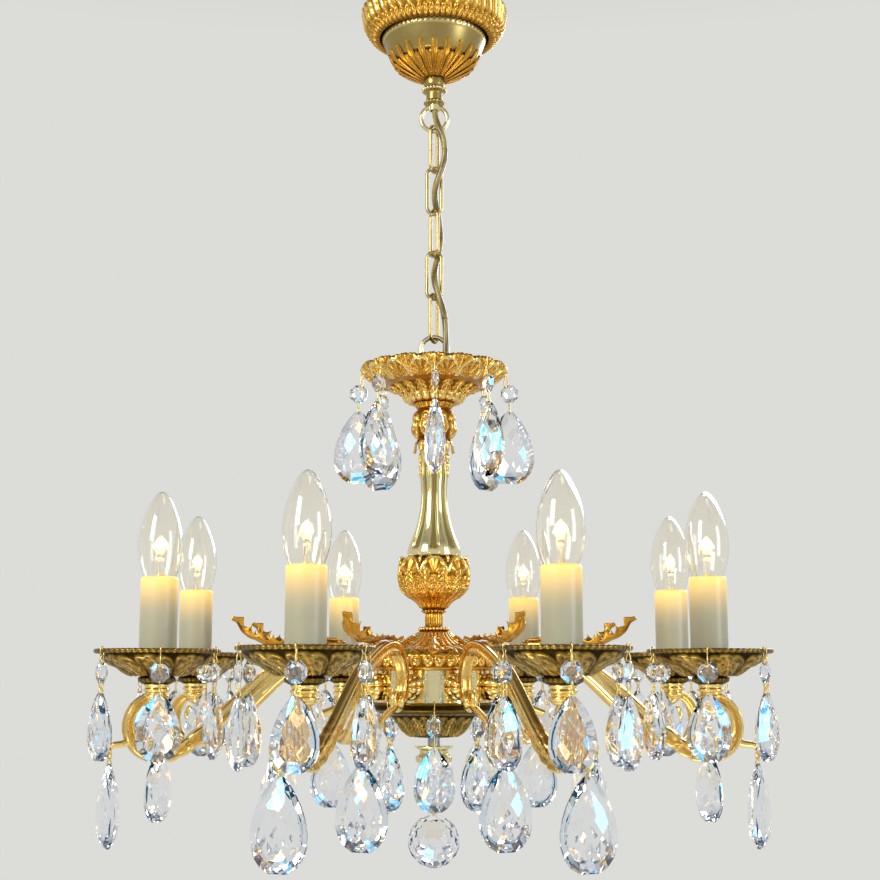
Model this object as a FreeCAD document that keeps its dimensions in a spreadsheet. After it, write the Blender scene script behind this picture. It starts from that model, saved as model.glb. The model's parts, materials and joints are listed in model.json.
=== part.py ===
import FreeCAD, Part
import math
import os
import Sketcher

# An eight-light crystal chandelier on a chain. The origin is on the chandelier's
# axis in the ceiling plane, +Z is up, and everything hangs below z = 0.
# Lengths are millimetres. "Radius" words are measured from the piece's own axis.

doc = FreeCAD.newDocument("chandelier")
sheet = doc.addObject("Spreadsheet::Sheet", "Sizes")

DRIVING_SIZES = (
    # ceiling fitting
    ("ceiling_gap", 1.0, "from the ceiling to the canopy's edge"),
    ("bracket_length", 84.0, "crossbar"),
    ("bracket_width", 20.0, "crossbar"),
    ("bracket_thickness", 2.5, "crossbar"),
    ("bracket_hole_spacing", 60.0, "between the two ceiling screws"),
    ("bracket_hole_radius", 2.5, "ceiling screw holes"),
    ("stem_radius", 5.0, "hollow threaded stem, outside"),
    ("stem_bore_radius", 3.4, "hollow stem and loop collar, inside"),
    ("stem_nut_radius", 9.0, "nut, across corners"),
    ("stem_nut_height", 5.0, "nut"),
    ("thread_clearance", 0.05, "radial, between a screwed stem and its bore"),
    ("terminal_length", 22.0, "terminal block"),
    ("terminal_width", 12.0, "terminal block"),
    ("terminal_height", 11.0, "terminal block"),
    ("terminal_offset", 16.5, "axis to the middle of the terminal block"),
    ("canopy_wall_height", 27.0, "straight wall of the canopy"),
    ("canopy_bowl_height", 30.0, "tapered part of the canopy"),
    ("canopy_bowl_radius", 48.0, "canopy bowl"),
    ("canopy_leaf_radius", 62.0, "widest part of the leaf ring"),
    ("canopy_leaf_height", 33.0, "leaf ring"),
    ("canopy_cup_height", 14.0, "leaf cup"),
    ("canopy_cup_radius", 36.0, "leaf cup, at its top"),
    ("canopy_neck_height", 23.5, "turned neck"),
    ("canopy_neck_radius", 9.0, "turned neck"),
    ("shell_wall", 1.8, "spun and cast shells"),
    ("seat_clearance", 0.3, "between a sleeve-like piece and what it surrounds"),
    ("bore_overrun", 1.0, "how far a bore's cutter runs past the piece at each end"),
    # rings and chain
    ("ring_radius", 11.5, "canopy loop and crown ring, to the middle of the wire"),
    ("ring_wire_radius", 2.0, "canopy loop and crown ring"),
    ("link_length", 41.8, "chain link, between its end wires' middles"),
    ("link_bend_radius", 6.2, "chain link's end, to the middle of the wire"),
    ("link_wire_radius", 1.6, "chain link"),
    ("link_play", 0.5, "between two linked wires"),
    ("cord_radius", 2.75, "supply cord"),
    # crown and column
    ("crown_rim_drop", 3.0, "from the crown ring down to the dish's rim"),
    ("crown_dish_height", 15.0, "crown dish"),
    ("crown_dish_radius", 61.5, "crown dish's rim"),
    ("crown_cup_height", 15.0, "gadrooned cup"),
    ("crown_cup_radius", 38.4, "gadrooned cup, top"),
    ("crown_cup_foot_radius", 19.0, "gadrooned cup, bottom"),
    ("crown_collar_radius", 7.5, "collar under the crown ring"),
    ("cord_hole_radius", 3.6, "hole of the cord in the crown dish"),
    ("rod_radius", 5.0, "tie rod, outside"),
    ("rod_bore_radius", 3.5, "tie rod, inside"),
    ("rod_clearance", 0.1, "radial, between the tie rod and the pieces on it"),
    ("capital_height", 36.0, "leaf bulb over the vase"),
    ("capital_radius", 16.4, "leaf bulb"),
    ("vase_height", 96.0, "fluted vase"),
    ("vase_neck_radius", 12.0, "fluted vase, top"),
    ("vase_foot_radius", 22.4, "fluted vase, bottom"),
    ("leaf_cup_height", 43.0, "leaf cup under the vase"),
    ("leaf_cup_radius", 29.0, "leaf cup"),
    ("leaf_cup_foot_radius", 10.0, "leaf cup, bottom"),
    ("waist_height", 17.0, "turned waist"),
    ("waist_radius", 7.0, "turned waist"),
    ("waist_foot_radius", 12.0, "turned waist, bottom"),
    # hub
    ("hub_cover_height", 33.0, "gadrooned cover"),
    ("hub_radius", 47.0, "polished band"),
    ("hub_rim_overhang", 3.0, "rosette rim, beyond the band"),
    ("hub_wall", 3.0, "band"),
    ("band_height", 26.0, "both halves of the band"),
    ("hub_bowl_height", 28.0, "bowl under the band"),
    ("hub_bowl_foot_radius", 17.0, "bowl, bottom"),
    ("hub_bowl_lip", 4.0, "bowl's rim, beyond the band"),
    ("hub_bowl_lip_width", 7.0, "bowl's flat lip"),
    ("finial_height", 21.0, "turned finial"),
    ("finial_radius", 15.0, "turned finial"),
    # arms, candles
    ("lamp_circle_radius", 230.0, "axis of the chandelier to a candle"),
    ("arm_tube_radius", 6.0, "scroll arm"),
    ("arm_root_radius", 9.0, "rosette where the arm meets the band"),
    ("arm_root_length", 14.6, "rosette where the arm meets the band"),
    ("tenon_radius", 4.0, "arm's tenon through the band"),
    ("tenon_reach", 5.0, "arm's tenon, inside the band and into the rosette"),
    ("tenon_clearance", 0.1, "radial, in the band"),
    ("seat_rise", 2.5, "candle seat over the arms' tenons"),
    ("seat_radius", 10.0, "candle seat"),
    ("seat_height", 14.0, "candle seat"),
    ("leaf_width", 20.4, "leaf on the arm"),
    ("drop_stem_radius", 2.7, "stems that carry the arm's drops"),
    ("arm_eye_radius", 4.6, "arm's eyes"),
    ("arm_eye_thickness", 2.2, "arm's eyes"),
    ("arm_eye_neck_radius", 1.1, "arm's eyes, where they meet their stems"),
    ("bobeche_height", 26.0, "drip dish"),
    ("bobeche_radius", 48.0, "drip dish's rim"),
    ("bobeche_floor_height", 12.0, "drip dish's neck ring and floor"),
    ("bobeche_floor_radius", 17.0, "flat floor round the candle"),
    ("rim_thickness", 1.6, "rims that carry hooks"),
    ("lip_width", 6.0, "flat lips of the crown dish and the drip dishes"),
    ("lip_flare", 5.0, "how far those lips stand out over the dish under them"),
    ("nipple_radius", 5.0, "threaded nipple under the lamp holder"),
    ("nipple_length", 24.0, "threaded nipple"),
    ("sleeve_radius", 14.5, "candle sleeve, outside"),
    ("sleeve_wall", 1.2, "candle sleeve"),
    ("sleeve_height", 70.0, "candle sleeve"),
    ("holder_drop", 8.0, "lamp holder's top, under the sleeve's"),
    ("holder_clearance", 0.5, "radial, lamp holder in the sleeve"),
    ("cap_radius", 6.95, "lamp cap"),
    ("cap_height", 25.0, "lamp cap"),
    ("cap_clearance", 0.35, "radial and axial, lamp cap in the holder"),
    ("bulb_radius", 17.5, "candle lamp's glass"),
    ("bulb_height", 75.0, "candle lamp's glass"),
    ("glass_wall", 0.9, "candle lamp's glass"),
    ("glass_tip_radius", 1.0, "flat tip where the lamp's glass was sealed"),
    # crystals
    ("pin_wire_radius", 0.45, "brass pins"),
    ("pin_half_width", 3.0, "brass pin's bend, to the middle of the wire"),
    ("pin_play", 0.4, "between two linked pins or eyes"),
    ("hook_rise", 1.64, "a hook's top wire, over the rim that it goes through"),
    ("eye_wire_radius", 0.75, "eyes of the finial and the ball"),
    ("hook_hole_radius", 1.1, "drilled holes in rims"),
    ("crystal_hole_radius", 1.4, "drilled holes in crystals and in the arms' eyes"),
    ("hole_inset", 2.2, "drilled hole to the crystal's edge"),
    ("large_drop_height", 63.0, "large drop"),
    ("large_drop_width", 42.0, "large drop"),
    ("large_drop_thickness", 16.0, "large drop"),
    ("small_drop_height", 50.0, "small drop"),
    ("small_drop_width", 33.0, "small drop"),
    ("small_drop_thickness", 14.0, "small drop"),
    ("bead_width", 15.0, "octagon bead"),
    ("bead_height", 15.0, "octagon bead"),
    ("long_bead_height", 18.0, "bead of the hub bowl"),
    ("long_bead_width", 12.0, "bead of the hub bowl"),
    ("bead_thickness", 6.0, "octagon bead"),
    ("bead_drop", 10.0, "bobeche rim to its bead"),
    ("crown_bead_drop", 14.0, "crown rim to its bead"),
    ("hub_bead_drop", 9.0, "hub bowl's rim to its bead"),
    ("drop_gap", 8.0, "bead to the drop under it"),
    ("arm_drop_gap", 8.0, "arm's eye to its drop, middle to edge"),
    ("outer_drop_overhang", 34.0, "outer drops, beyond the candle circle"),
    ("inner_drop_radius", 138.0, "inner drops' circle"),
    ("arm_eye_drop", 48.5, "arms' eyes under the tenons"),
    ("ball_radius", 21.3, "bottom ball"),
    ("ball_drop", 41.0, "finial to the ball"),
    ("ball_pin_depth", 6.0, "the ball's eye, into the ball"),
    ("ball_eye_gap", 0.05, "the ball's eye over the ball's top facet, and round its shank"),
)
LIGHTS = 8
HOOKS_PER_BOBECHE = 6
CHAIN_LINKS = 5

for row, (alias, value, note) in enumerate(DRIVING_SIZES, start=1):
    sheet.set("A%d" % row, note)
    sheet.set("B%d" % row, str(value))
    sheet.setAlias("B%d" % row, alias)
doc.recompute()


def size(alias):
    """The value of one driving size."""
    return float(getattr(sheet, alias))


# Heights and radii that follow from the driving sizes, each worked out once.
levels = doc.addObject("App::FeaturePython", "Levels")
DERIVED_SIZES = (
    ("neck_top", "-(Sizes.canopy_wall_height + Sizes.canopy_bowl_height + Sizes.canopy_cup_height)"),
    ("neck_bottom", "Levels.neck_top - Sizes.canopy_neck_height"),
    ("loop_centre", "Levels.neck_bottom - Sizes.ring_radius - Sizes.ring_wire_radius"),
    ("loop_low_wire", "Levels.loop_centre - Sizes.ring_radius"),
    ("ring_to_link", "Sizes.ring_wire_radius + Sizes.link_wire_radius + Sizes.link_play"),
    ("link_to_link", "2 * Sizes.link_wire_radius + Sizes.link_play"),
    ("first_link_top", "Levels.loop_low_wire + Levels.ring_to_link"),
    ("link_pitch", "Sizes.link_length - Levels.link_to_link"),
    ("last_link_top", "Levels.first_link_top - %d * Levels.link_pitch" % (CHAIN_LINKS - 1)),
    ("last_link_bottom", "Levels.last_link_top - Sizes.link_length"),
    ("crown_ring_centre", "Levels.last_link_bottom + Levels.ring_to_link - Sizes.ring_radius"),
    ("crown_ring_low_wire", "Levels.crown_ring_centre - Sizes.ring_radius"),
    ("crown_rim", "Levels.crown_ring_low_wire - Sizes.ring_wire_radius - Sizes.crown_rim_drop"),
    ("crown_floor", "Levels.crown_rim - Sizes.crown_dish_height"),
    ("crown_cup_foot", "Levels.crown_floor - Sizes.crown_cup_height"),
    ("capital_foot", "Levels.crown_cup_foot - Sizes.capital_height"),
    ("vase_foot", "Levels.capital_foot - Sizes.vase_height"),
    ("leaf_cup_foot", "Levels.vase_foot - Sizes.leaf_cup_height"),
    ("waist_foot", "Levels.leaf_cup_foot - Sizes.waist_height"),
    ("band_top", "Levels.waist_foot - Sizes.hub_cover_height"),
    ("band_middle", "Levels.band_top - Sizes.band_height / 2"),
    ("band_bottom", "Levels.band_top - Sizes.band_height"),
    ("hub_bowl_foot", "Levels.band_bottom - Sizes.hub_bowl_height"),
    ("finial_foot", "Levels.hub_bowl_foot - Sizes.finial_height"),
    ("rod_top", "Levels.crown_ring_low_wire - Sizes.ring_wire_radius - 1"),
    ("rod_bottom", "Levels.hub_bowl_foot - Sizes.finial_height / 2"),
    ("seat_top", "Levels.band_middle + Sizes.seat_rise"),
    ("candle_floor", "Levels.seat_top + Sizes.bobeche_floor_height"),
    ("bobeche_rim", "Levels.seat_top + Sizes.bobeche_height"),
    ("sleeve_top", "Levels.candle_floor + Sizes.sleeve_height"),
    ("holder_top", "Levels.sleeve_top - Sizes.holder_drop"),
    ("rod_hole_radius", "Sizes.rod_radius + Sizes.rod_clearance"),
    ("stem_hole_radius", "Sizes.stem_radius + Sizes.thread_clearance"),
    ("nipple_hole_radius", "Sizes.nipple_radius + Sizes.thread_clearance"),
    ("holder_radius", "Sizes.sleeve_radius - Sizes.sleeve_wall - Sizes.holder_clearance"),
    ("socket_radius", "Sizes.cap_radius + Sizes.cap_clearance"),
    ("hub_bowl_radius", "Sizes.hub_radius + Sizes.hub_bowl_lip"),
    ("arm_eye", "Levels.band_middle - Sizes.arm_eye_drop"),
    ("eye_to_pin", "Sizes.eye_wire_radius + Sizes.pin_wire_radius + Sizes.pin_play"),
    ("ball_top", "Levels.finial_foot - Sizes.ball_drop"),
    ("ball_eye_middle", "Sizes.ball_eye_gap + Sizes.eye_wire_radius + Sizes.pin_half_width"),
    ("ball_wire", "Levels.ball_top + Levels.ball_eye_middle + Sizes.pin_half_width - Levels.eye_to_pin"),
)
for name, formula in DERIVED_SIZES:
    levels.addProperty("App::PropertyFloat", name)
    levels.setExpression(name, formula.replace("Levels.", ""))
doc.recompute()


def level(name):
    """The value of one derived height or radius."""
    return float(getattr(levels, name))


sub_parts = []


def keep(piece, label):
    """Marks an object as a finished sub-part, with the label that names its file."""
    piece.Label = label
    sub_parts.append(piece)
    return piece


def set_expressions(thing, **formulas):
    """Binds an object's properties to formulas over the driving sizes."""
    for name, formula in formulas.items():
        thing.setExpression(name, formula)
    return thing


def origin_plane(body, role):
    """One of the body's own origin planes."""
    return next(plane for plane in body.Origin.OriginFeatures if plane.Role == role)


class Outline:
    """A closed half-section in a sketch: radius along X, height along Y."""

    def __init__(self, sketch, corners):
        self.sketch = sketch
        self.corners = corners
        self.values = [(self.value(corner[0]), self.value(corner[1])) for corner in corners]
        self.ends = []

    def value(self, formula):
        """A formula's present value."""
        helper = doc.getObject("Reading")
        helper.setExpression("number", formula)
        helper.recompute()
        return helper.number

    def add_side(self, index):
        """Draws one side, a line or an arc, and remembers its two ends."""
        here = self.values[index]
        there = self.values[(index + 1) % len(self.values)]
        start = FreeCAD.Vector(here[0], here[1], 0)
        end = FreeCAD.Vector(there[0], there[1], 0)
        bulge = self.corners[index][2] if len(self.corners[index]) > 2 else 0
        if not bulge:
            side = self.sketch.addGeometry(Part.LineSegment(start, end), False)
            self.ends.append((side, 1, 2))
            return
        chord = end - start
        normal = FreeCAD.Vector(chord.y, -chord.x, 0)
        middle = (start + end) * 0.5 + normal * bulge
        if bulge > 0:
            side = self.sketch.addGeometry(Part.Arc(start, middle, end), False)
            self.ends.append((side, 1, 2))
        else:
            side = self.sketch.addGeometry(Part.Arc(end, middle, start), False)
            self.ends.append((side, 2, 1))
        self.hold_radius(side, index, abs(bulge))

    def hold_radius(self, side, index, bulge):
        """Ties an arc's radius to its two corners, through the bulge's share of the chord."""
        here = self.corners[index]
        there = self.corners[(index + 1) % len(self.corners)]
        share = bulge / 2 + 1 / (8 * bulge)
        formula = "sqrt(pow(%s - (%s); 2) + pow(%s - (%s); 2)) * %.9f" % (
            there[0], here[0], there[1], here[1], share)
        radius = self.sketch.Geometry[side].Radius
        number = self.sketch.addConstraint(Sketcher.Constraint("Radius", side, radius))
        self.sketch.setExpression("Constraints[%d]" % number, formula)

    def hold_corner(self, index):
        """Ties one corner to its two formulas."""
        side, first, _ = self.ends[index]
        for kind, axis, formula, number in (
                ("DistanceX", -2, self.corners[index][0], self.values[index][0]),
                ("DistanceY", -1, self.corners[index][1], self.values[index][1])):
            if abs(number) < 1e-9:
                self.sketch.addConstraint(Sketcher.Constraint("PointOnObject", side, first, axis))
                continue
            tie = self.sketch.addConstraint(Sketcher.Constraint(kind, -1, 1, side, first, number))
            self.sketch.setExpression("Constraints[%d]" % tie, formula)

    def draw(self):
        """Draws every side and constrains the whole outline."""
        count = len(self.corners)
        for index in range(count):
            self.add_side(index)
        for index in range(count):
            side, _, last = self.ends[index]
            following, first, _ = self.ends[(index + 1) % count]
            self.sketch.addConstraint(Sketcher.Constraint("Coincident", side, last, following, first))
        for index in range(count):
            self.hold_corner(index)


reading = doc.addObject("App::FeaturePython", "Reading")
reading.addProperty("App::PropertyFloat", "number")


def turned(name, base, corners):
    """A turned body: each corner is (radius, height over the piece's foot, bulge of the side after it)."""
    body = doc.addObject("PartDesign::Body", name)
    sketch = body.newObject("Sketcher::SketchObject", name + "_outline")
    sketch.AttachmentSupport = (origin_plane(body, "XZ_Plane"), "")
    sketch.MapMode = "FlatFace"
    Outline(sketch, corners).draw()
    spin = body.newObject("PartDesign::Revolution", name + "_turned")
    spin.Profile = sketch
    spin.ReferenceAxis = (sketch, ["V_Axis"])
    spin.Angle = 360
    body.Tip = spin
    body.setExpression("Placement.Base.z", base)
    doc.recompute()
    return body


def drilled(body, name, hole_circle, hole_radius, count):
    """Drills a ring of equal vertical holes right through a turned body."""
    sketch = body.newObject("Sketcher::SketchObject", name + "_hole")
    sketch.AttachmentSupport = (origin_plane(body, "XY_Plane"), "")
    sketch.MapMode = "FlatFace"
    where = FreeCAD.Vector(50, 0, 0)
    sketch.addGeometry(Part.Circle(where, FreeCAD.Vector(0, 0, 1), 1), False)
    sketch.addConstraint(Sketcher.Constraint("PointOnObject", 0, 3, -1))
    sketch.addConstraint(Sketcher.Constraint("DistanceX", -1, 1, 0, 3, 50))
    sketch.setExpression("Constraints[1]", hole_circle)
    sketch.addConstraint(Sketcher.Constraint("Radius", 0, 1))
    sketch.setExpression("Constraints[2]", hole_radius)
    drill = body.newObject("PartDesign::Pocket", name + "_drilled")
    drill.Profile = sketch
    drill.Type = "ThroughAll"
    drill.Midplane = True
    body.Tip = drill
    doc.recompute()
    if count > 1:
        ring = body.newObject("PartDesign::PolarPattern", name + "_ring")
        ring.Originals = [drill]
        ring.Axis = (sketch, ["N_Axis"])
        ring.Angle = 360
        ring.Occurrences = count
        body.Tip = ring
        doc.recompute()
    return body


def cylinder(name, radius, height, base):
    """An upright cylinder on the axis."""
    piece = doc.addObject("Part::Cylinder", name)
    return set_expressions(piece, **{"Radius": radius, "Height": height, "Placement.Base.z": base})


def upright_torus(name, radius, wire_radius, centre):
    """A ring of round wire that stands in the XZ plane."""
    piece = doc.addObject("Part::Torus", name)
    piece.Placement = FreeCAD.Placement(FreeCAD.Vector(), FreeCAD.Rotation(FreeCAD.Vector(1, 0, 0), 90))
    return set_expressions(piece, **{"Radius1": radius, "Radius2": wire_radius, "Placement.Base.z": centre})


def joined(name, pieces):
    """One solid made of several that overlap."""
    fused = doc.addObject("Part::MultiFuse", name)
    fused.Shapes = pieces
    return fused


def cut(name, base, tool):
    """One solid less another."""
    result = doc.addObject("Part::Cut", name)
    result.Base = base
    result.Tool = tool
    return result


# ---------------------------------------------------------------- ceiling fitting

def ceiling_bracket():
    """Steel crossbar under the ceiling: two screw holes and the stem's hole."""
    bar = doc.addObject("Part::Box", "bracket_bar")
    set_expressions(bar, **{
        "Length": "Sizes.bracket_length", "Width": "Sizes.bracket_width",
        "Height": "Sizes.bracket_thickness",
        "Placement.Base.x": "-Sizes.bracket_length / 2", "Placement.Base.y": "-Sizes.bracket_width / 2",
        "Placement.Base.z": "-Sizes.bracket_thickness"})
    holes = [cylinder("bracket_stem_hole", "Levels.stem_hole_radius", "4 * Sizes.bracket_thickness",
                      "-2 * Sizes.bracket_thickness")]
    for side, sign in (("left", "-"), ("right", "")):
        hole = cylinder("bracket_hole_" + side, "Sizes.bracket_hole_radius", "4 * Sizes.bracket_thickness",
                        "-2 * Sizes.bracket_thickness")
        hole.setExpression("Placement.Base.x", sign + "Sizes.bracket_hole_spacing / 2")
        holes.append(hole)
    keep(cut("ceiling_bracket_cut", bar, joined("bracket_holes", holes)), "ceiling_bracket")


def hanging_stem():
    """Hollow threaded stem with the nut that holds the crossbar and the nut that holds the bowl."""
    length = "-(Levels.neck_top) + Sizes.canopy_neck_height / 2 - Sizes.ceiling_gap"
    rod = cylinder("stem_rod", "Sizes.stem_radius", length,
                   "Levels.neck_top - Sizes.canopy_neck_height / 2")
    nuts = []
    for where, top in (("upper", "-Sizes.bracket_thickness"),
                       ("lower", "-(Sizes.canopy_wall_height + Sizes.canopy_bowl_height) "
                                 "+ Sizes.shell_wall + Sizes.stem_nut_height")):
        nut = doc.addObject("Part::Prism", "stem_nut_" + where)
        nut.Polygon = 6
        set_expressions(nut, **{"Circumradius": "Sizes.stem_nut_radius", "Height": "Sizes.stem_nut_height",
                                "Placement.Base.z": top + " - Sizes.stem_nut_height"})
        nuts.append(nut)
    bore = cylinder("stem_bore", "Sizes.stem_bore_radius", length + " + 2 * Sizes.bore_overrun",
                    "Levels.neck_top - Sizes.canopy_neck_height / 2 - Sizes.bore_overrun")
    keep(cut("hanging_stem_cut", joined("stem_solid", [rod] + nuts), bore), "hanging_stem")


def terminal_block():
    """Block under the crossbar where the house wiring meets the cord."""
    block = doc.addObject("Part::Box", "terminal_box")
    set_expressions(block, **{
        "Length": "Sizes.terminal_width", "Width": "Sizes.terminal_length", "Height": "Sizes.terminal_height",
        "Placement.Base.x": "Sizes.terminal_offset - Sizes.terminal_width / 2",
        "Placement.Base.y": "-Sizes.terminal_length / 2",
        "Placement.Base.z": "-Sizes.bracket_thickness - Sizes.terminal_height"})
    keep(block, "terminal_block")


def canopy():
    """Spun tapered bowl, cast leaf ring round it, leaf cup under it and the turned neck."""
    shoulder = "Sizes.canopy_bowl_height"
    top = "Sizes.canopy_bowl_height + Sizes.canopy_wall_height - Sizes.ceiling_gap"
    inside = "Sizes.canopy_bowl_radius - Sizes.shell_wall"
    keep(turned("canopy_bowl", "-(Sizes.canopy_wall_height + Sizes.canopy_bowl_height)", (
        ("Levels.stem_hole_radius", "0"),
        ("Sizes.canopy_cup_radius", "0", 0.04),
        ("Sizes.canopy_bowl_radius", shoulder),
        ("Sizes.canopy_bowl_radius", top),
        (inside, top),
        (inside, shoulder, -0.04),
        ("Sizes.canopy_cup_radius - Sizes.shell_wall", "Sizes.shell_wall"),
        ("Levels.stem_hole_radius", "Sizes.shell_wall"))), "canopy_bowl")

    inner = "Sizes.canopy_bowl_radius + Sizes.seat_clearance"
    keep(turned("canopy_leaf_ring", "-Sizes.ceiling_gap - Sizes.canopy_leaf_height", (
        (inner, "0"),
        ("Sizes.canopy_bowl_radius + 3", "0", 0.12),
        ("Sizes.canopy_leaf_radius", "Sizes.canopy_leaf_height * 0.6", 0.2),
        ("Sizes.canopy_bowl_radius + 8", "Sizes.canopy_leaf_height"),
        (inner, "Sizes.canopy_leaf_height"))), "canopy_leaf_ring")

    keep(turned("canopy_leaf_cup", "Levels.neck_top", (
        ("Levels.stem_hole_radius", "0"),
        ("Sizes.canopy_neck_radius + 1", "0", 0.18),
        ("Sizes.canopy_cup_radius", "Sizes.canopy_cup_height"),
        ("Sizes.canopy_cup_radius - Sizes.shell_wall * 1.4", "Sizes.canopy_cup_height", -0.18),
        ("Sizes.canopy_neck_radius + 1", "Sizes.shell_wall * 1.8"),
        ("Levels.stem_hole_radius", "Sizes.shell_wall * 1.8"))), "canopy_leaf_cup")

    neck = "Sizes.canopy_neck_radius"
    tall = "Sizes.canopy_neck_height"
    keep(turned("canopy_neck", "Levels.neck_bottom", (
        ("Levels.stem_hole_radius", "0"),
        (neck, "0"),
        (neck + " * 0.78", tall + " * 0.12"),
        (neck + " * 0.78", tall + " * 0.42"),
        (neck + " * 1.1", tall + " * 0.5", 0.4),
        (neck + " * 0.85", tall + " * 0.62"),
        (neck, tall + " * 0.72"),
        (neck, tall),
        ("Levels.stem_hole_radius", tall))), "canopy_neck")


def canopy_loop():
    """Round ring with a hollow collar that screws into the neck; the cord leaves through it."""
    ring = upright_torus("loop_ring", "Sizes.ring_radius", "Sizes.ring_wire_radius", "Levels.loop_centre")
    collar = cylinder("loop_collar", "Sizes.stem_radius",
                      "Sizes.canopy_neck_height * 0.45 + 3 * Sizes.ring_wire_radius",
                      "Levels.neck_bottom - 3 * Sizes.ring_wire_radius")
    bore = cylinder("loop_bore", "Sizes.stem_bore_radius", "Sizes.canopy_neck_height + Sizes.ring_radius",
                    "Levels.loop_centre")
    keep(cut("canopy_loop_cut", joined("loop_solid", [ring, collar]), bore), "canopy_loop")


# ---------------------------------------------------------------- chain

LINK_TURNS = (60, 0, -60, 0, 60)


def chain_link(number):
    """One long link of round wire, turned about the vertical as the chain hangs."""
    name = "link_%d_" % number
    parts = []
    for side, sign in (("left", "-"), ("right", "")):
        bar = cylinder(name + side, "Sizes.link_wire_radius", "Sizes.link_length - 2 * Sizes.link_bend_radius",
                       "-Sizes.link_length + Sizes.link_bend_radius")
        bar.setExpression("Placement.Base.x", sign + "Sizes.link_bend_radius")
        parts.append(bar)
    for end, tilt, centre in (("top", 90, "-Sizes.link_bend_radius"),
                              ("bottom", -90, "Sizes.link_bend_radius - Sizes.link_length")):
        bend = doc.addObject("Part::Torus", name + end)
        bend.Angle3 = 180
        bend.Placement = FreeCAD.Placement(
            FreeCAD.Vector(), FreeCAD.Rotation(FreeCAD.Vector(1, 0, 0), tilt))
        set_expressions(bend, **{"Radius1": "Sizes.link_bend_radius", "Radius2": "Sizes.link_wire_radius",
                                 "Placement.Base.z": centre})
        parts.append(bend)
    link = joined(name + "wire", parts)
    turn = FreeCAD.Rotation(FreeCAD.Vector(0, 0, 1), LINK_TURNS[number - 1])
    link.Placement = FreeCAD.Placement(FreeCAD.Vector(), turn)
    link.setExpression("Placement.Base.z", "Levels.first_link_top - %d * Levels.link_pitch" % (number - 1))
    keep(link, "chain_link_%d" % number)


# ---------------------------------------------------------------- swept tubes

def tangent_path(points, share=0.45):
    """Straight runs joined by tangent arcs, each as large as its two runs allow; also the radii."""
    edges = []
    radii = []
    last = points[0]
    for before, corner, after in zip(points, points[1:], points[2:]):
        arrive = (corner - before).normalize()
        leave = (after - corner).normalize()
        turn = arrive.getAngle(leave)
        reach = share * min(corner.distanceToPoint(before), corner.distanceToPoint(after))
        radius = reach / math.tan(turn / 2)
        start = corner - arrive * reach
        end = corner + leave * reach
        inward = (leave - arrive).normalize()
        centre = corner + inward * (radius / math.cos(turn / 2))
        middle = centre - inward * radius
        edges.append(Part.LineSegment(last, start).toShape())
        edges.append(Part.Arc(start, middle, end).toShape())
        radii.append(radius)
        last = end
    edges.append(Part.LineSegment(last, points[-1]).toShape())
    return Part.Wire(edges), radii


def tube(points, radius, share=0.45):
    """A round bar along the path through the points."""
    path, radii = tangent_path(points, share)
    heading = points[1] - points[0]
    section = Part.Wire([Part.makeCircle(radius, points[0], heading)])
    solid = path.makePipeShell([section], True, False)
    expected = math.pi * radius ** 2 * path.Length
    if abs(solid.Volume - expected) > 0.01 * expected:
        raise RuntimeError("a swept tube has the wrong volume: %g for %g" % (solid.Volume, expected))
    return solid, radii, path.Length


def spot(radius, height, angle):
    """The place at a radius and height, turned about the chandelier's axis."""
    turn = FreeCAD.Rotation(FreeCAD.Vector(0, 0, 1), angle)
    return FreeCAD.Placement(turn.multVec(FreeCAD.Vector(radius, 0, height)), turn)


def moved(shape, place):
    """A copy of a shape at another place."""
    copy = shape.copy()
    copy.Placement = place.multiply(shape.Placement)
    return copy


def placed(shape, radius, height, angle):
    """A copy of a shape, moved out along +X and turned about the chandelier's axis."""
    return moved(shape, spot(radius, height, angle))


def feature(name, shape, label, placement=FreeCAD.Placement()):
    """A sub-part that holds a shape made here, at its place."""
    piece = doc.addObject("Part::Feature", name)
    piece.Shape = shape
    piece.Placement = placement.multiply(shape.Placement)
    return keep(piece, label)


# The cord's route, chosen by hand: out of the loop's collar, past the first link on the right,
# through the second link, behind the third, through the fourth, past the fifth, into the crown dish.
CORD_ROUTE = (
    (0, 0, -84), (0, 0, -103), (2.8, -5.6, -115), (8.2, -7.6, -129), (9.8, -7.2, -145), (5.6, -7.0, -159),
    (0.6, -3.4, -171), (0.4, 2.6, -183), (4.0, 7.0, -196), (5.6, 7.8, -212), (4.2, 6.2, -229),
    (0.4, 1.6, -244), (-0.2, -4.2, -257), (4.2, -7.2, -271), (9.2, -7.0, -288), (10.2, -7.2, -308),
    (9.8, -7.6, -328), (10.0, -7.4, -345), (10.0, -7.2, -356),
)


def supply_cord():
    """Two-core PVC cord from the canopy's stem to the crown, threaded through the chain."""
    points = [FreeCAD.Vector(*point) for point in CORD_ROUTE]
    solid, radii, length = tube(points, size("cord_radius"))
    print("cord: %.0f mm long, radii %s" % (length, ", ".join("%.0f" % radius for radius in radii)))
    feature("supply_cord_tube", solid, "supply_cord")


# ---------------------------------------------------------------- crown and column

def crown_ring():
    """Round ring that the chain carries, with the collar that the tie rod screws into."""
    ring = upright_torus("crown_wire", "Sizes.ring_radius", "Sizes.ring_wire_radius",
                         "Levels.crown_ring_centre")
    collar = cylinder("crown_collar", "Sizes.crown_collar_radius",
                      "Levels.crown_ring_low_wire - Levels.crown_floor - Sizes.shell_wall * 1.4",
                      "Levels.crown_floor + Sizes.shell_wall * 1.4")
    bore = cylinder("crown_bore", "Levels.rod_hole_radius",
                    "Levels.rod_top - Levels.crown_floor + 0.4", "Levels.crown_floor")
    keep(cut("crown_ring_cut", joined("crown_solid", [ring, collar]), bore), "crown_ring")


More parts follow.
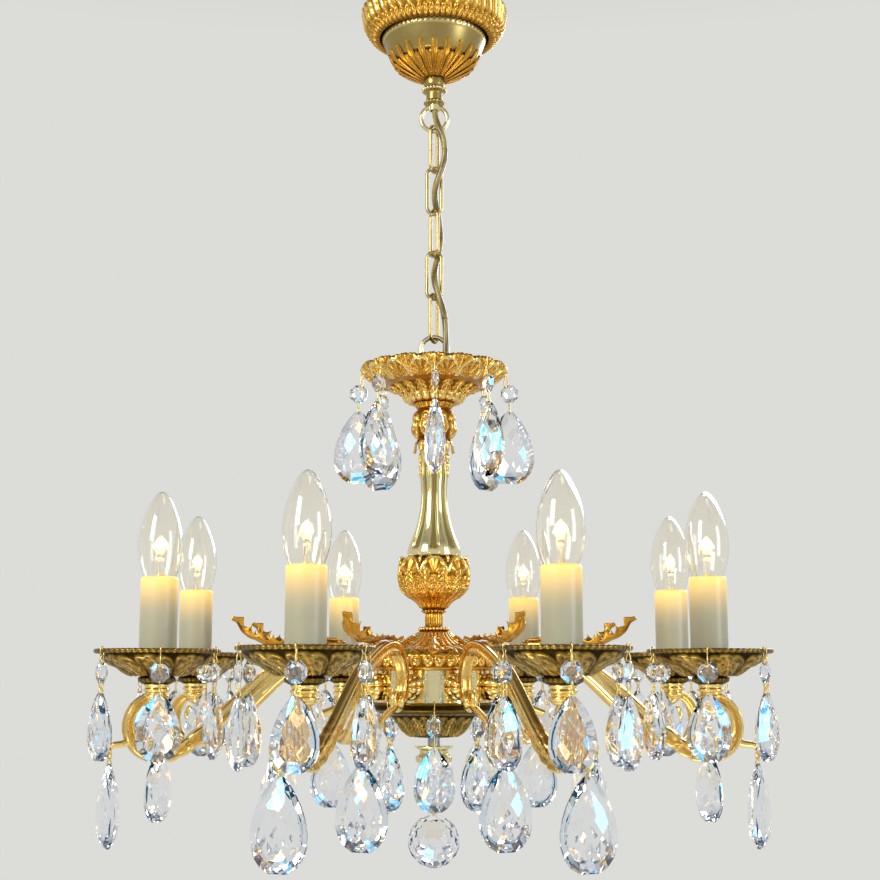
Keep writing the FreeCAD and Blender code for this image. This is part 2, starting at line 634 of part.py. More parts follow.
def crown_dish():
    """Cast dish with a flat lip for the hooks; the cord goes down through its floor."""
    rim = "Sizes.crown_dish_radius"
    tall = "Sizes.crown_dish_height"
    body = turned("crown_dish_cast", "Levels.crown_floor", (
        ("Levels.rod_hole_radius", "0"),
        ("Sizes.crown_cup_radius", "0", 0.1),
        (rim + " - Sizes.lip_flare", tall + " - 2 * Sizes.rim_thickness"),
        (rim, tall + " - Sizes.rim_thickness"),
        (rim, tall),
        (rim + " - Sizes.lip_width", tall, -0.1),
        ("Sizes.crown_cup_radius - 2", "Sizes.shell_wall * 1.4"),
        ("Levels.rod_hole_radius", "Sizes.shell_wall * 1.4")))
    drilled(body, "crown_dish", "Sizes.crown_dish_radius - Sizes.pin_half_width",
            "Sizes.hook_hole_radius", LIGHTS)
    hole = cylinder("crown_cord_hole", "Sizes.cord_hole_radius", "Sizes.crown_dish_height",
                    "Levels.crown_floor - Sizes.crown_dish_height / 2")
    hole.Placement.Base = FreeCAD.Vector(CORD_ROUTE[-1][0], CORD_ROUTE[-1][1], 0)
    keep(cut("crown_dish_cut", body, hole), "crown_dish")


def column():
    """The turned and cast pieces threaded on the tie rod, from the crown cup to the hub."""
    hole = "Levels.rod_hole_radius"
    keep(turned("crown_cup", "Levels.crown_cup_foot", (
        (hole, "0"),
        ("Sizes.crown_cup_foot_radius", "0", 0.12),
        ("Sizes.crown_cup_radius", "Sizes.crown_cup_height"),
        ("Sizes.crown_cup_radius - Sizes.shell_wall * 1.3", "Sizes.crown_cup_height", -0.12),
        ("Sizes.crown_cup_foot_radius - 1", "Sizes.shell_wall"),
        (hole, "Sizes.shell_wall"))), "crown_cup")

    tall = "Sizes.capital_height"
    wide = "Sizes.capital_radius"
    keep(turned("column_capital", "Levels.capital_foot", (
        (hole, "0"),
        ("Sizes.vase_neck_radius + 1.5", "0"),
        ("Sizes.vase_neck_radius - 0.5", tall + " * 0.15", 0.25),
        (wide, tall + " * 0.55", 0.2),
        (wide + " * 0.8", tall + " * 0.85"),
        ("Sizes.crown_cup_foot_radius - 2", tall),
        (hole, tall))), "column_capital")

    tall = "Sizes.vase_height"
    keep(turned("column_vase", "Levels.vase_foot", (
        (hole, "0"),
        ("Sizes.vase_foot_radius", "0", 0.08),
        ("Sizes.vase_foot_radius * 0.9", tall + " * 0.14", -0.07),
        ("Sizes.vase_neck_radius", tall + " * 0.72"),
        ("Sizes.vase_neck_radius * 0.96", tall + " * 0.9"),
        ("Sizes.vase_neck_radius + 1.5", tall),
        (hole, tall))), "column_vase")

    tall = "Sizes.leaf_cup_height"
    wide = "Sizes.leaf_cup_radius"
    keep(turned("column_leaf_cup", "Levels.leaf_cup_foot", (
        (hole, "0"),
        ("Sizes.leaf_cup_foot_radius", "0", -0.1),
        (wide + " * 0.72", tall + " * 0.24", 0.12),
        (wide, tall + " * 0.55", 0.08),
        (wide + " * 0.92", tall),
        (hole, tall))), "column_leaf_cup")

    tall = "Sizes.waist_height"
    keep(turned("column_waist", "Levels.waist_foot", (
        (hole, "0"),
        ("Sizes.waist_foot_radius", "0"),
        ("Sizes.waist_foot_radius", tall + " * 0.1", -0.25),
        ("Sizes.waist_radius", tall + " * 0.3"),
        ("Sizes.waist_radius", tall + " * 0.65", -0.25),
        ("Sizes.leaf_cup_foot_radius", tall),
        (hole, tall))), "column_waist")


def tie_rod():
    """Hollow steel tube from the crown ring's collar to the finial; the wires run in it."""
    rod = cylinder("rod_outside", "Sizes.rod_radius", "Levels.rod_top - Levels.rod_bottom",
                   "Levels.rod_bottom")
    bore = cylinder("rod_inside", "Sizes.rod_bore_radius",
                    "Levels.rod_top - Levels.rod_bottom + 2 * Sizes.bore_overrun",
                    "Levels.rod_bottom - Sizes.bore_overrun")
    keep(cut("tie_rod_cut", rod, bore), "tie_rod")


# ---------------------------------------------------------------- hub

def hub():
    """Gadrooned cover, two half-bands that clamp the arms, the bowl and the finial."""
    hole = "Levels.rod_hole_radius"
    wide = "Sizes.hub_radius"
    tall = "Sizes.hub_cover_height"
    wall = "Sizes.hub_wall"
    keep(turned("hub_cover", "Levels.band_top", (
        (wide + " - " + wall, "0"),
        (wide, "0"),
        (wide + " + Sizes.hub_rim_overhang", tall + " * 0.12"),
        (wide + " + Sizes.hub_rim_overhang", tall + " * 0.34", 0.15),
        (wide + " * 0.73", tall + " * 0.55", -0.12),
        ("Sizes.waist_foot_radius", tall),
        (hole, tall),
        (hole, tall + " - " + wall),
        ("Sizes.waist_foot_radius - 1", tall + " - " + wall, 0.12),
        (wide + " * 0.73 - " + wall, tall + " * 0.55 - " + wall),
        (wide + " - " + wall, tall + " * 0.34 - " + wall + " / 2"))), "hub_cover")

    inside = wide + " - " + wall
    half = "Sizes.band_height / 2"
    for label, base in (("hub_band_upper", "Levels.band_middle"), ("hub_band_lower", "Levels.band_bottom")):
        band = turned(label + "_ring", base, ((inside, "0"), (wide, "0"), (wide, half), (inside, half)))
        keep(cut(label + "_cut", band, tenon_holes(label)), label)

    tall = "Sizes.hub_bowl_height"
    rim = "Levels.hub_bowl_radius"
    bowl = turned("hub_bowl", "Levels.hub_bowl_foot", (
        (hole, "0"),
        ("Sizes.hub_bowl_foot_radius", "0", 0.12),
        (wide + " * 0.62", tall + " * 0.44", 0.08),
        (rim + " - Sizes.hub_bowl_lip", tall + " - 2 * Sizes.rim_thickness"),
        (rim, tall + " - Sizes.rim_thickness"),
        (rim, tall),
        (rim + " - Sizes.hub_bowl_lip_width", tall, -0.1),
        (wide + " * 0.62 - " + wall, tall + " * 0.44 + " + wall, -0.12),
        ("Sizes.hub_bowl_foot_radius - 1", wall),
        (hole, wall)))
    keep(drilled(bowl, "hub_bowl_rim", "Levels.hub_bowl_radius - Sizes.pin_half_width",
                 "Sizes.hook_hole_radius", LIGHTS), "hub_bowl")

    tall = "Sizes.finial_height"
    wide = "Sizes.finial_radius"
    blind = "Sizes.finial_height / 2 - 1"
    knob = turned("finial_knob", "Levels.finial_foot", (
        ("0", "0"),
        (wide + " * 0.55", "0"),
        (wide + " * 0.8", tall + " * 0.12"),
        (wide + " * 0.8", tall + " * 0.3"),
        (wide, tall + " * 0.4", 0.25),
        (wide, tall + " * 0.6"),
        (wide + " * 0.8", tall + " * 0.66"),
        (wide + " * 0.8", tall + " * 0.85"),
        ("Sizes.hub_bowl_foot_radius - 1", tall),
        (hole, tall),
        (hole, blind),
        ("0", blind)))
    eye = upright_torus("finial_eye", "Sizes.pin_half_width", "Sizes.eye_wire_radius",
                        "Levels.finial_foot - Sizes.pin_half_width")
    keep(joined("finial_fused", [knob, eye]), "hub_finial")


def tenon_holes(label):
    """Eight radial holes on the band's split line, for the arms' tenons."""
    holes = []
    for number in range(1, LIGHTS + 1):
        hole = doc.addObject("Part::Cylinder", "%s_hole_%d" % (label, number))
        turn = FreeCAD.Rotation(FreeCAD.Vector(0, 0, 1), arm_angle(number))
        tip = FreeCAD.Rotation(FreeCAD.Vector(0, 1, 0), 90)
        hole.Placement = FreeCAD.Placement(FreeCAD.Vector(), turn.multiply(tip))
        set_expressions(hole, **{"Radius": "Sizes.tenon_radius + Sizes.tenon_clearance",
                                 "Height": "Sizes.hub_radius * 2", "Placement.Base.z": "Levels.band_middle"})
        holes.append(hole)
    return joined(label + "_holes", holes)


def arm_angle(number):
    """The direction of an arm, in degrees from +X; no arm points straight at the front."""
    return 360.0 / LIGHTS * (number - 0.5)


# ---------------------------------------------------------------- arms and candles

# The scroll's middle line from the C-scroll's foot over its top and down the straight:
# share of the span from the hub to the lamp, then height over the tenon.
SCROLL_ROUTE = ((0.150, -13), (0.095, -9.5), (0.080, 8), (0.125, 26), (0.220, 32), (0.340, 27), (0.500, 13),
                (0.640, -9), (0.790, -34))
# Its outer curl up to the candle seat: distance beyond the lamp's axis, then height over the tenon.
CURL_ROUTE = ((-12, -53), (10, -50.5), (21, -35), (19, -18), (8, -7.5), (-1, -6))
# The leaf on the scroll's back, seen from the side: share of the span, then height over the tenon.
LEAF_OUTLINE = ((0.26, 34), (0.45, 33), (0.60, 36), (0.675, 49), (0.645, 49), (0.57, 40), (0.44, 37),
                (0.26, 37))
# The stems of the two drops: distance beyond the drop's or the lamp's axis, then height over the tenon.
INNER_STEM_ROUTE = ((-34, -24), (-16, -35))
OUTER_STEM_START = (19, -40)
OUTER_STEM_BEND = (-8, -42.5)
EYE_STEM_LAP = 4.5    # a stem's end over the middle of its eye


def along_arm(radius, height):
    """A point over the arm's line, its height measured from the tenon's axis."""
    return FreeCAD.Vector(radius, 0, height)


def arm_eye(radius, height):
    """A flat eye plate across the arm's line, and the neck that joins it to its stem."""
    thick = size("arm_eye_thickness")
    plate = Part.makeCylinder(size("arm_eye_radius"), thick, along_arm(radius - thick / 2, height),
                              FreeCAD.Vector(1, 0, 0))
    neck = Part.makeCylinder(size("arm_eye_neck_radius"), EYE_STEM_LAP + size("arm_eye_neck_radius"),
                             along_arm(radius, height + size("drop_stem_radius")))
    return [plate, neck]


def arm_leaf():
    """The acanthus leaf that lies on the scroll's back, as a plain curled plate."""
    hub_radius = size("hub_radius")
    span = size("lamp_circle_radius") - hub_radius
    side = [along_arm(hub_radius + span * share, height) for share, height in LEAF_OUTLINE]
    leaf = Part.Face(Part.makePolygon(side + [side[0]])).extrude(FreeCAD.Vector(0, size("leaf_width"), 0))
    leaf.translate(FreeCAD.Vector(0, -size("leaf_width") / 2, 0))
    return leaf


def arm_shape():
    """A cast scroll arm along +X, its tenon's axis at z = 0."""
    lamp = size("lamp_circle_radius")
    hub_radius = size("hub_radius")
    span = lamp - hub_radius
    eye_height = -size("arm_eye_drop")
    inner = size("inner_drop_radius")
    outer = lamp + size("outer_drop_overhang")
    outward = FreeCAD.Vector(1, 0, 0)

    scroll_points = [along_arm(hub_radius + span * share, height) for share, height in SCROLL_ROUTE]
    scroll_points += [along_arm(lamp + beyond, height) for beyond, height in CURL_ROUTE]
    scroll = tube(scroll_points, size("arm_tube_radius"))[0]

    tenon_start = hub_radius - size("hub_wall") - size("tenon_reach")
    root = hub_radius + size("seat_clearance")
    tenon = Part.makeCylinder(size("tenon_radius"), size("hub_wall") + 2 * size("tenon_reach"),
                              along_arm(tenon_start, 0), outward)
    rosette = Part.makeCylinder(size("arm_root_radius"), size("arm_root_length"), along_arm(root, 0), outward)
    seat = Part.makeCylinder(size("seat_radius"), size("seat_height"),
                             along_arm(lamp, size("seat_rise") - size("seat_height")))

    inner_points = [scroll_points[0]]
    inner_points += [along_arm(inner + beyond, height) for beyond, height in INNER_STEM_ROUTE]
    outer_points = [along_arm(lamp + OUTER_STEM_START[0], OUTER_STEM_START[1]),
                    along_arm(outer + OUTER_STEM_BEND[0], OUTER_STEM_BEND[1])]
    pieces = [tenon, rosette, seat, arm_leaf()]
    for points, radius in ((inner_points, inner), (outer_points, outer)):
        points.append(along_arm(radius, eye_height + EYE_STEM_LAP))
        pieces.append(tube(points, size("drop_stem_radius"))[0])
        pieces += arm_eye(radius, eye_height)
    arm = scroll.multiFuse(pieces)

    nipple = Part.makeCylinder(
        level("nipple_hole_radius"), size("nipple_length"),
        along_arm(lamp, size("seat_rise") + size("bobeche_floor_height") - size("nipple_length")))
    holes = [Part.makeCylinder(size("crystal_hole_radius"), 2 * size("arm_eye_radius"),
                               along_arm(radius - size("arm_eye_radius"), eye_height), outward)
             for radius in (inner, outer)]
    return arm.cut([nipple] + holes).removeSplitter()


def arms():
    """Eight equal arms."""
    shape = arm_shape()
    if len(shape.Solids) != 1:
        raise RuntimeError("an arm is in %d pieces" % len(shape.Solids))
    for number in range(1, LIGHTS + 1):
        feature("arm_%d_cast" % number, shape, "arm_%d" % number,
                spot(0, level("band_middle"), arm_angle(number)))


BOBECHE_TURN = 21    # degrees


def hook_turn(number):
    """How far a drip dish is turned on its seat, mirrored left and right."""
    return BOBECHE_TURN if math.cos(math.radians(arm_angle(number))) < 0 else -BOBECHE_TURN


def bobeches():
    """Eight drip dishes, each on a neck ring, with six hook holes in its lip."""
    rim = "Sizes.bobeche_radius"
    tall = "Sizes.bobeche_height"
    floor = "Sizes.bobeche_floor_height"
    flat = "Sizes.bobeche_floor_radius"
    hole = "Levels.nipple_hole_radius"
    master = turned("bobeche_cast", "0", (
        (hole, "0"),
        ("Sizes.seat_radius + 2", "0", 0.35),
        ("Sizes.seat_radius + 2", floor + " * 0.5", 0.12),
        (rim + " - Sizes.lip_flare", tall + " - 2 * Sizes.rim_thickness"),
        (rim, tall + " - Sizes.rim_thickness"),
        (rim, tall),
        (rim + " - Sizes.lip_width", tall, -0.12),
        (flat, floor),
        (hole, floor)))
    drilled(master, "bobeche", "Sizes.bobeche_radius - Sizes.pin_half_width", "Sizes.hook_hole_radius",
            HOOKS_PER_BOBECHE)
    for number in range(1, LIGHTS + 1):
        dish = master.Shape.copy()
        dish.rotate(FreeCAD.Vector(), FreeCAD.Vector(0, 0, 1), hook_turn(number))
        feature("bobeche_%d_cast" % number, dish, "bobeche_%d" % number,
                spot(size("lamp_circle_radius"), level("seat_top"), arm_angle(number)))


def on_every_arm(name, shape, height):
    """A group of equal pieces, one over each candle seat."""
    copies = [placed(shape, size("lamp_circle_radius"), height, arm_angle(number))
              for number in range(1, LIGHTS + 1)]
    feature(name + "_group", Part.makeCompound(copies), name)


def candles():
    """Candle sleeves, lamp holders, lamp caps and lamp glasses."""
    outside = cylinder("sleeve_outside", "Sizes.sleeve_radius", "Sizes.sleeve_height", "0")
    inside = cylinder("sleeve_inside", "Sizes.sleeve_radius - Sizes.sleeve_wall",
                      "Sizes.sleeve_height + 2 * Sizes.bore_overrun", "-Sizes.bore_overrun")
    sleeve = cut("sleeve_tube", outside, inside)

    tall = "Sizes.sleeve_height - Sizes.holder_drop"
    depth = "Sizes.cap_height + Sizes.cap_clearance"
    holder = turned("holder_turned", "0", (
        ("0", "-Sizes.nipple_length"),
        ("Sizes.nipple_radius", "-Sizes.nipple_length"),
        ("Sizes.nipple_radius", "0"),
        ("Levels.holder_radius", "0"),
        ("Levels.holder_radius", tall),
        ("Levels.socket_radius", tall),
        ("Levels.socket_radius", tall + " - (" + depth + ")"),
        ("0", tall + " - (" + depth + ")")))

    cap = turned("cap_turned", "0", (
        ("0", "0"),
        ("Sizes.cap_radius * 0.4", "0"),
        ("Sizes.cap_radius", "Sizes.cap_height * 0.2"),
        ("Sizes.cap_radius", "Sizes.cap_height"),
        ("0", "Sizes.cap_height")))

    wide = "Sizes.bulb_radius"
    high = "Sizes.bulb_height"
    wall = "Sizes.glass_wall"
    tip = "Sizes.glass_tip_radius"
    glass = turned("glass_blown", "0", (
        (wide + " * 0.38", "0"),
        (wide + " * 0.5", "0", 0.05),
        (wide + " * 0.72", high + " * 0.11", 0.05),
        (wide, high + " * 0.43", 0.05),
        (wide + " * 0.62", high + " * 0.82", 0.03),
        (wide + " * 0.26", high + " * 0.964", 0.08),
        (tip, high),
        ("0", high),
        ("0", high + " - " + wall),
        (tip, high + " - " + wall, -0.08),
        (wide + " * 0.26 - " + wall, high + " * 0.955", -0.03),
        (wide + " * 0.62 - " + wall, high + " * 0.815", -0.05),
        (wide + " - " + wall, high + " * 0.43", -0.05),
        (wide + " * 0.72 - " + wall, high + " * 0.11"),
        (wide + " * 0.5 - " + wall, wall),
        (wide + " * 0.38", wall)))
    doc.recompute()
    on_every_arm("candle_sleeves", sleeve.Shape, level("candle_floor"))
    on_every_arm("lamp_holders", holder.Shape, level("candle_floor"))
    on_every_arm("bulb_caps", cap.Shape, level("holder_top") - size("cap_height"))
    on_every_arm("bulb_glasses", glass.Shape, level("holder_top"))


# ---------------------------------------------------------------- crystals

def faceted(outline, steps):
    """A cut crystal: the outline in the YZ plane, shrunk about its middle at each step along X."""
    rings = []
    for share, depth in steps:
        rings.append([FreeCAD.Vector(depth, share * across, share * up) for across, up in outline])
    faces = []
    for ring in (rings[0], rings[-1]):
        faces.append(Part.Face(Part.makePolygon(ring + [ring[0]])))
    for near, far in zip(rings, rings[1:]):
        for index in range(len(outline)):
            following = (index + 1) % len(outline)
            corners = [near[index], near[following], far[following], far[index]]
            faces.append(Part.Face(Part.makePolygon(corners + [corners[0]])))
    solid = Part.makeSolid(Part.makeShell(faces))
    if solid.Volume < 0:
        solid.reverse()
    return solid


def with_holes(solid, heights, reach):
    """Drills the crystal through, along X, at each height."""
    drills = [Part.makeCylinder(size("crystal_hole_radius"), 2 * reach, FreeCAD.Vector(-reach, 0, up),
                                FreeCAD.Vector(1, 0, 0)) for up in heights]
    return solid.cut(drills)


# The almond's half-outline, as shares of its width and height from the top edge down.
ALMOND = ((0.09, 0.0), (0.23, 0.13), (0.37, 0.32), (0.47, 0.51), (0.50, 0.66), (0.44, 0.82), (0.28, 0.94),
          (0.09, 1.0))
# Its bevels: share of the outline, then depth as a share of the thickness.
CUT_STEPS = ((0.45, -0.5), (0.80, -0.30), (1.0, -0.04), (1.0, 0.04), (0.80, 0.30), (0.45, 0.5))


ALMOND_MIDDLE = 0.60    # the bevels shrink about this share of the height


def almond(kind):
    """A large or small drop; z = 0 is its drilled hole."""
    high = size(kind + "_drop_height")
    wide = size(kind + "_drop_width")
    thick = size(kind + "_drop_thickness")
    right = [(wide * across, high * (ALMOND_MIDDLE - down)) for across, down in ALMOND]
    left = [(-across, up) for across, up in reversed(right)]
    solid = faceted(right + left, [(share, thick * depth) for share, depth in CUT_STEPS])
    hole = high * ALMOND_MIDDLE - size("hole_inset")
    solid = with_holes(solid, (hole,), thick)
    solid.translate(FreeCAD.Vector(0, 0, -hole))
    return solid


# A bead's bevels: share of the outline, then depth as a share of the thickness.
BEAD_STEPS = ((0.5, -0.5), (1.0, -0.08), (1.0, 0.08), (0.5, 0.5))


def bead(width, height, thickness):
    """An octagon bead with two drilled holes; z = 0 is its middle."""
    outline = []
    for corner in range(8):
        angle = math.radians(22.5 + 45 * corner)
        outline.append((width / 2 * math.cos(angle) / math.cos(math.radians(22.5)),
                        height / 2 * math.sin(angle) / math.cos(math.radians(22.5))))
    steps = [(share, thickness * depth) for share, depth in BEAD_STEPS]
    reach = height / 2 - size("hole_inset")
    return with_holes(faceted(outline, steps), (reach, -reach), thickness)


BALL_SIDES = 16
BALL_CUT_TURN = 20    # degrees between two rows of the ball's facets
BALL_LAST_CUT = 80    # the ball's flat top and bottom facets start at this latitude


def ball():
    """A faceted ball with a brass eye set into its top; z = 0 is the top facet, the eye is across X."""
    radius = size("ball_radius")
    outline = []
    for side in range(BALL_SIDES):
        angle = 2 * math.pi * (side + 0.5) / BALL_SIDES
        outline.append((math.cos(angle), math.sin(angle)))
    steps = []
    for latitude in range(-BALL_LAST_CUT, BALL_LAST_CUT + 1, BALL_CUT_TURN):
        angle = math.radians(latitude)
        steps.append((radius * math.cos(angle), radius * math.sin(angle)))
    solid = faceted(outline, steps)
    solid.rotate(FreeCAD.Vector(), FreeCAD.Vector(0, 1, 0), 90)
    solid.translate(FreeCAD.Vector(0, 0, -radius * math.sin(math.radians(BALL_LAST_CUT))))
    depth = size("ball_pin_depth")
    wire = size("eye_wire_radius")
    gap = size("ball_eye_gap")
    middle = level("ball_eye_middle")
    bore = Part.makeCylinder(wire + gap, depth + size("bore_overrun"), FreeCAD.Vector(0, 0, -depth))
    solid = solid.cut(bore)
    shank = Part.makeCylinder(wire, depth + wire, FreeCAD.Vector(0, 0, gap - depth))
    loop = Part.makeTorus(size("pin_half_width"), wire, FreeCAD.Vector(0, 0, middle), FreeCAD.Vector(0, 1, 0))
    return Part.makeCompound([solid, loop.fuse(shank)])


pin_cache = {}


def half_ring(bend, wire, middle, upper):
    """The upper or lower half of a wire ring in the XZ plane, its centre at the height of the middle."""
    ring = Part.makeTorus(bend, wire, FreeCAD.Vector(0, 0, middle), FreeCAD.Vector(0, 1, 0))
    foot = middle - 2 * bend if upper else middle
    return ring.cut(Part.makeBox(4 * bend, 4 * bend, 2 * bend, FreeCAD.Vector(-2 * bend, -2 * bend, foot)))


def pin(top, bottom):
    """A closed loop of brass wire in the XZ plane, its end wires' middles at the two heights."""
    span = round(top - bottom, 6)
    if span not in pin_cache:
        bend = size("pin_half_width")
        wire = size("pin_wire_radius")
        high = half_ring(bend, wire, -bend, True)
        low = half_ring(bend, wire, bend - span, False)
        bars = [Part.makeCylinder(wire, span - 2 * bend, FreeCAD.Vector(side * bend, 0, bend - span))
                for side in (-1, 1)]
        pin_cache[span] = high.multiFuse([low] + bars)
    loop = pin_cache[span].copy()
    loop.translate(FreeCAD.Vector(0, 0, top))
    return loop


def twisted_hook(top, bottom):
    """A hook over a rim in the XZ plane; its shank ends in an eye across Y, its low wire at the bottom."""
    bend = size("pin_half_width")
    wire = size("pin_wire_radius")
    over = half_ring(bend, wire, top - bend, True)
    tail = Part.makeCylinder(wire, bend, FreeCAD.Vector(-bend, 0, top - 2 * bend))
    shank = Part.makeCylinder(wire, top - bend - bottom - 2 * bend, FreeCAD.Vector(bend, 0, bottom + 2 * bend))
    eye = Part.makeTorus(bend, wire, FreeCAD.Vector(bend, 0, bottom + bend), FreeCAD.Vector(1, 0, 0))
    return over.multiFuse([tail, shank, eye])


def pendant(bead_drop, bead_shape, bead_height, drop_shape, twisted=False):
    """Hook, bead, pin and drop under a rim at z = 0, hooked at x = 0: (pins, crystals).

    A twisted hook turns the crystals a quarter turn, edge to the front.
    """
    inset = size("hole_inset")
    bend = size("pin_half_width")
    bead_middle = -bead_drop - bead_height / 2
    upper_hole = bead_middle + bead_height / 2 - inset
    lower_hole = bead_middle - bead_height / 2 + inset
    drop_hole = bead_middle - bead_height / 2 - size("drop_gap") - inset
    hung = [(pin(lower_hole, drop_hole), 0), (bead_shape, bead_middle), (drop_shape, drop_hole)]
    hook_shape = twisted_hook if twisted else pin
    hook = hook_shape(size("hook_rise"), upper_hole)
    hook.Placement = spot(bend, 0, 0).multiply(hook.Placement)
    shapes = []
    for shape, height in hung:
        copy = shape.copy()
        turn = FreeCAD.Rotation(FreeCAD.Vector(0, 0, 1), 90 if twisted else 0)
        place = FreeCAD.Placement(FreeCAD.Vector(bend * (2 if twisted else 1), 0, height), turn)
        copy.Placement = place.multiply(shape.Placement)
        shapes.append(copy)
    return [hook, shapes[0]], shapes[1:]


ALONG_ARM_TURN = 44    # degrees
LOOSE_TURN = 13        # degrees, at most


def natural_turn(index, hook=None, mirrored=False):
    """How far a hanging crystal is turned about its hook, in degrees: a little, each its own way.

    The hook beside the arm is turned further, so that its drop hangs along the arm.
    """
    if hook == HOOKS_PER_BOBECHE // 2:
        return ALONG_ARM_TURN if mirrored else -ALONG_ARM_TURN
    return LOOSE_TURN * math.sin(2.4 * index + 0.7)


def crystals():
    """Every crystal, and the brass pins that hang them."""
    large = almond("large")
    small = almond("small")
    octagon = bead(size("bead_width"), size("bead_height"), size("bead_thickness"))
    long_octagon = bead(size("long_bead_width"), size("long_bead_height"), size("bead_thickness"))
    pins = []

    dish_pins, dish_crystals = pendant(size("bead_drop"), octagon, size("bead_height"), small)
    bobeche_crystals = []
    for number in range(1, LIGHTS + 1):
        lamp = spot(size("lamp_circle_radius"), 0, arm_angle(number))
        for hook in range(HOOKS_PER_BOBECHE):
            angle = hook_turn(number) + 360.0 / HOOKS_PER_BOBECHE * hook
            loose = natural_turn(HOOKS_PER_BOBECHE * number + hook, hook, hook_turn(number) > 0)
            hole = spot(size("bobeche_radius") - size("pin_half_width"), level("bobeche_rim"), angle)
            place = lamp.multiply(hole).multiply(spot(0, 0, loose))
            pins += [moved(shape, place) for shape in dish_pins]
            bobeche_crystals += [moved(shape, place) for shape in dish_crystals]
    feature("bobeche_crystals_group", Part.makeCompound(bobeche_crystals), "bobeche_crystals")

    centre_crystals = []
    rings = ((size("crown_dish_radius"), level("crown_rim"), size("crown_bead_drop"), octagon,
              size("bead_height"), large, True),
             (level("hub_bowl_radius"), level("band_bottom"), size("hub_bead_drop"), long_octagon,
              size("long_bead_height"), small, False))
    for radius, rim, bead_drop, bead_shape, bead_height, drop_shape, twisted in rings:
        ring_pins, ring_crystals = pendant(bead_drop, bead_shape, bead_height, drop_shape, twisted)
        for number in range(LIGHTS):
            hole = spot(radius - size("pin_half_width"), rim, 360.0 / LIGHTS * number)
            place = hole.multiply(spot(0, 0, natural_turn(number)))
            pins += [moved(shape, place) for shape in ring_pins]
            centre_crystals += [moved(shape, place) for shape in ring_crystals]

    inset = size("hole_inset")
    arm_hole = level("arm_eye") - size("arm_drop_gap") - inset
    inner_drops = []
    for number in range(1, LIGHTS + 1):
        angle = arm_angle(number)
        outer = size("lamp_circle_radius") + size("outer_drop_overhang")
        pins.append(placed(pin(level("arm_eye"), arm_hole), size("inner_drop_radius"), 0, angle))
        pins.append(placed(pin(level("arm_eye"), arm_hole), outer, 0, angle))
        inner_drops.append(placed(large, size("inner_drop_radius"), arm_hole, angle))
        feature("outer_drop_%d_cut" % number, large, "outer_drop_%d" % number, spot(outer, arm_hole, angle))
    feature("inner_drops_group", Part.makeCompound(inner_drops), "inner_drops")

    eye_wire = level("finial_foot") - 2 * size("pin_half_width") + level("eye_to_pin")
    bead_middle = (eye_wire + level("ball_wire")) / 2
    reach = size("long_bead_height") / 2 - inset
    quarter = spot(0, 0, 90)
    pins += [moved(shape, quarter) for shape in (pin(eye_wire, bead_middle + reach),
                                                 pin(bead_middle - reach, level("ball_wire")))]
    centre_crystals.append(placed(long_octagon, 0, bead_middle, 90))
    feature("bottom_ball_cut", ball(), "bottom_ball", spot(0, level("ball_top"), 0))
    feature("centre_crystals_group", Part.makeCompound(centre_crystals), "centre_crystals")
    feature("crystal_pins_group", Part.makeCompound(pins), "crystal_pins")


# ---------------------------------------------------------------- build and write

ceiling_bracket()
hanging_stem()
terminal_block()
canopy()
canopy_loop()
for link_number in range(1, CHAIN_LINKS + 1):
    chain_link(link_number)
supply_cord()
crown_ring()
crown_dish()
column()
tie_rod()
hub()
arms()
bobeches()
candles()
crystals()
doc.recompute()

for thing in doc.Objects:
    if "Invalid" in thing.State or "Error" in thing.State:
        raise RuntimeError("%s failed: %s" % (thing.Name, thing.State))
for sub_part in sub_parts:
    if sub_part.Shape.isNull() or not sub_part.Shape.isValid():
        raise RuntimeError("%s has no valid shape" % sub_part.Label)

os.makedirs("parts", exist_ok=True)
for sub_part in sub_parts:
    sub_part.Shape.exportStep("parts/%s.step" % sub_part.Label)
print("%d sub-parts" % len(sub_parts))
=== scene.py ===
"""An eight-light crystal chandelier: the finish of its brass, its cut crystals, candles, chain and cord."""
import json
import math

import bmesh
import bpy
import numpy as np
from mathutils import Matrix, Vector


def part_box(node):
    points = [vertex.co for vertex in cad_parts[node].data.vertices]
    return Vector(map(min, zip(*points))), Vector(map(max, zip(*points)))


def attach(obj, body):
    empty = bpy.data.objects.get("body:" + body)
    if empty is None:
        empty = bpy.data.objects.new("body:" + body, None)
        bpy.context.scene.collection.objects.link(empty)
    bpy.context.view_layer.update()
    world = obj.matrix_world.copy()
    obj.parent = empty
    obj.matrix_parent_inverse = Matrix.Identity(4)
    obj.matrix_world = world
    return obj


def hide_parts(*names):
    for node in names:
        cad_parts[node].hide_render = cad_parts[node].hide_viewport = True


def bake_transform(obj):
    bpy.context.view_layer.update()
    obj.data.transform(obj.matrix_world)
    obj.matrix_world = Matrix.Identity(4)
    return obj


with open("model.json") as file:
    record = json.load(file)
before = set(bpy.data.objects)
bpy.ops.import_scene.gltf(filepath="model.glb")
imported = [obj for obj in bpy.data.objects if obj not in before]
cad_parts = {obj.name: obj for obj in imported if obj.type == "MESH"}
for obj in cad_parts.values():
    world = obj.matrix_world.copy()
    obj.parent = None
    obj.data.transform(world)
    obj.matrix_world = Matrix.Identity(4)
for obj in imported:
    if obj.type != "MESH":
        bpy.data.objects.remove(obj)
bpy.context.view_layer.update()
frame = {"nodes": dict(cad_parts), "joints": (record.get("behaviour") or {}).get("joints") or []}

MM = 0.001
LIGHTS = 8
HOOKS_PER_BOBECHE = 6
TAU = 2 * math.pi


# ---------------------------------------------------------------- places, read from the frame

def foot(node):
    """The lowest height of a CAD node."""
    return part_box(node)[0].z


def top(node):
    """The highest height of a CAD node."""
    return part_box(node)[1].z


def reach(node):
    """How far a turned CAD node reaches from the axis."""
    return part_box(node)[1].x


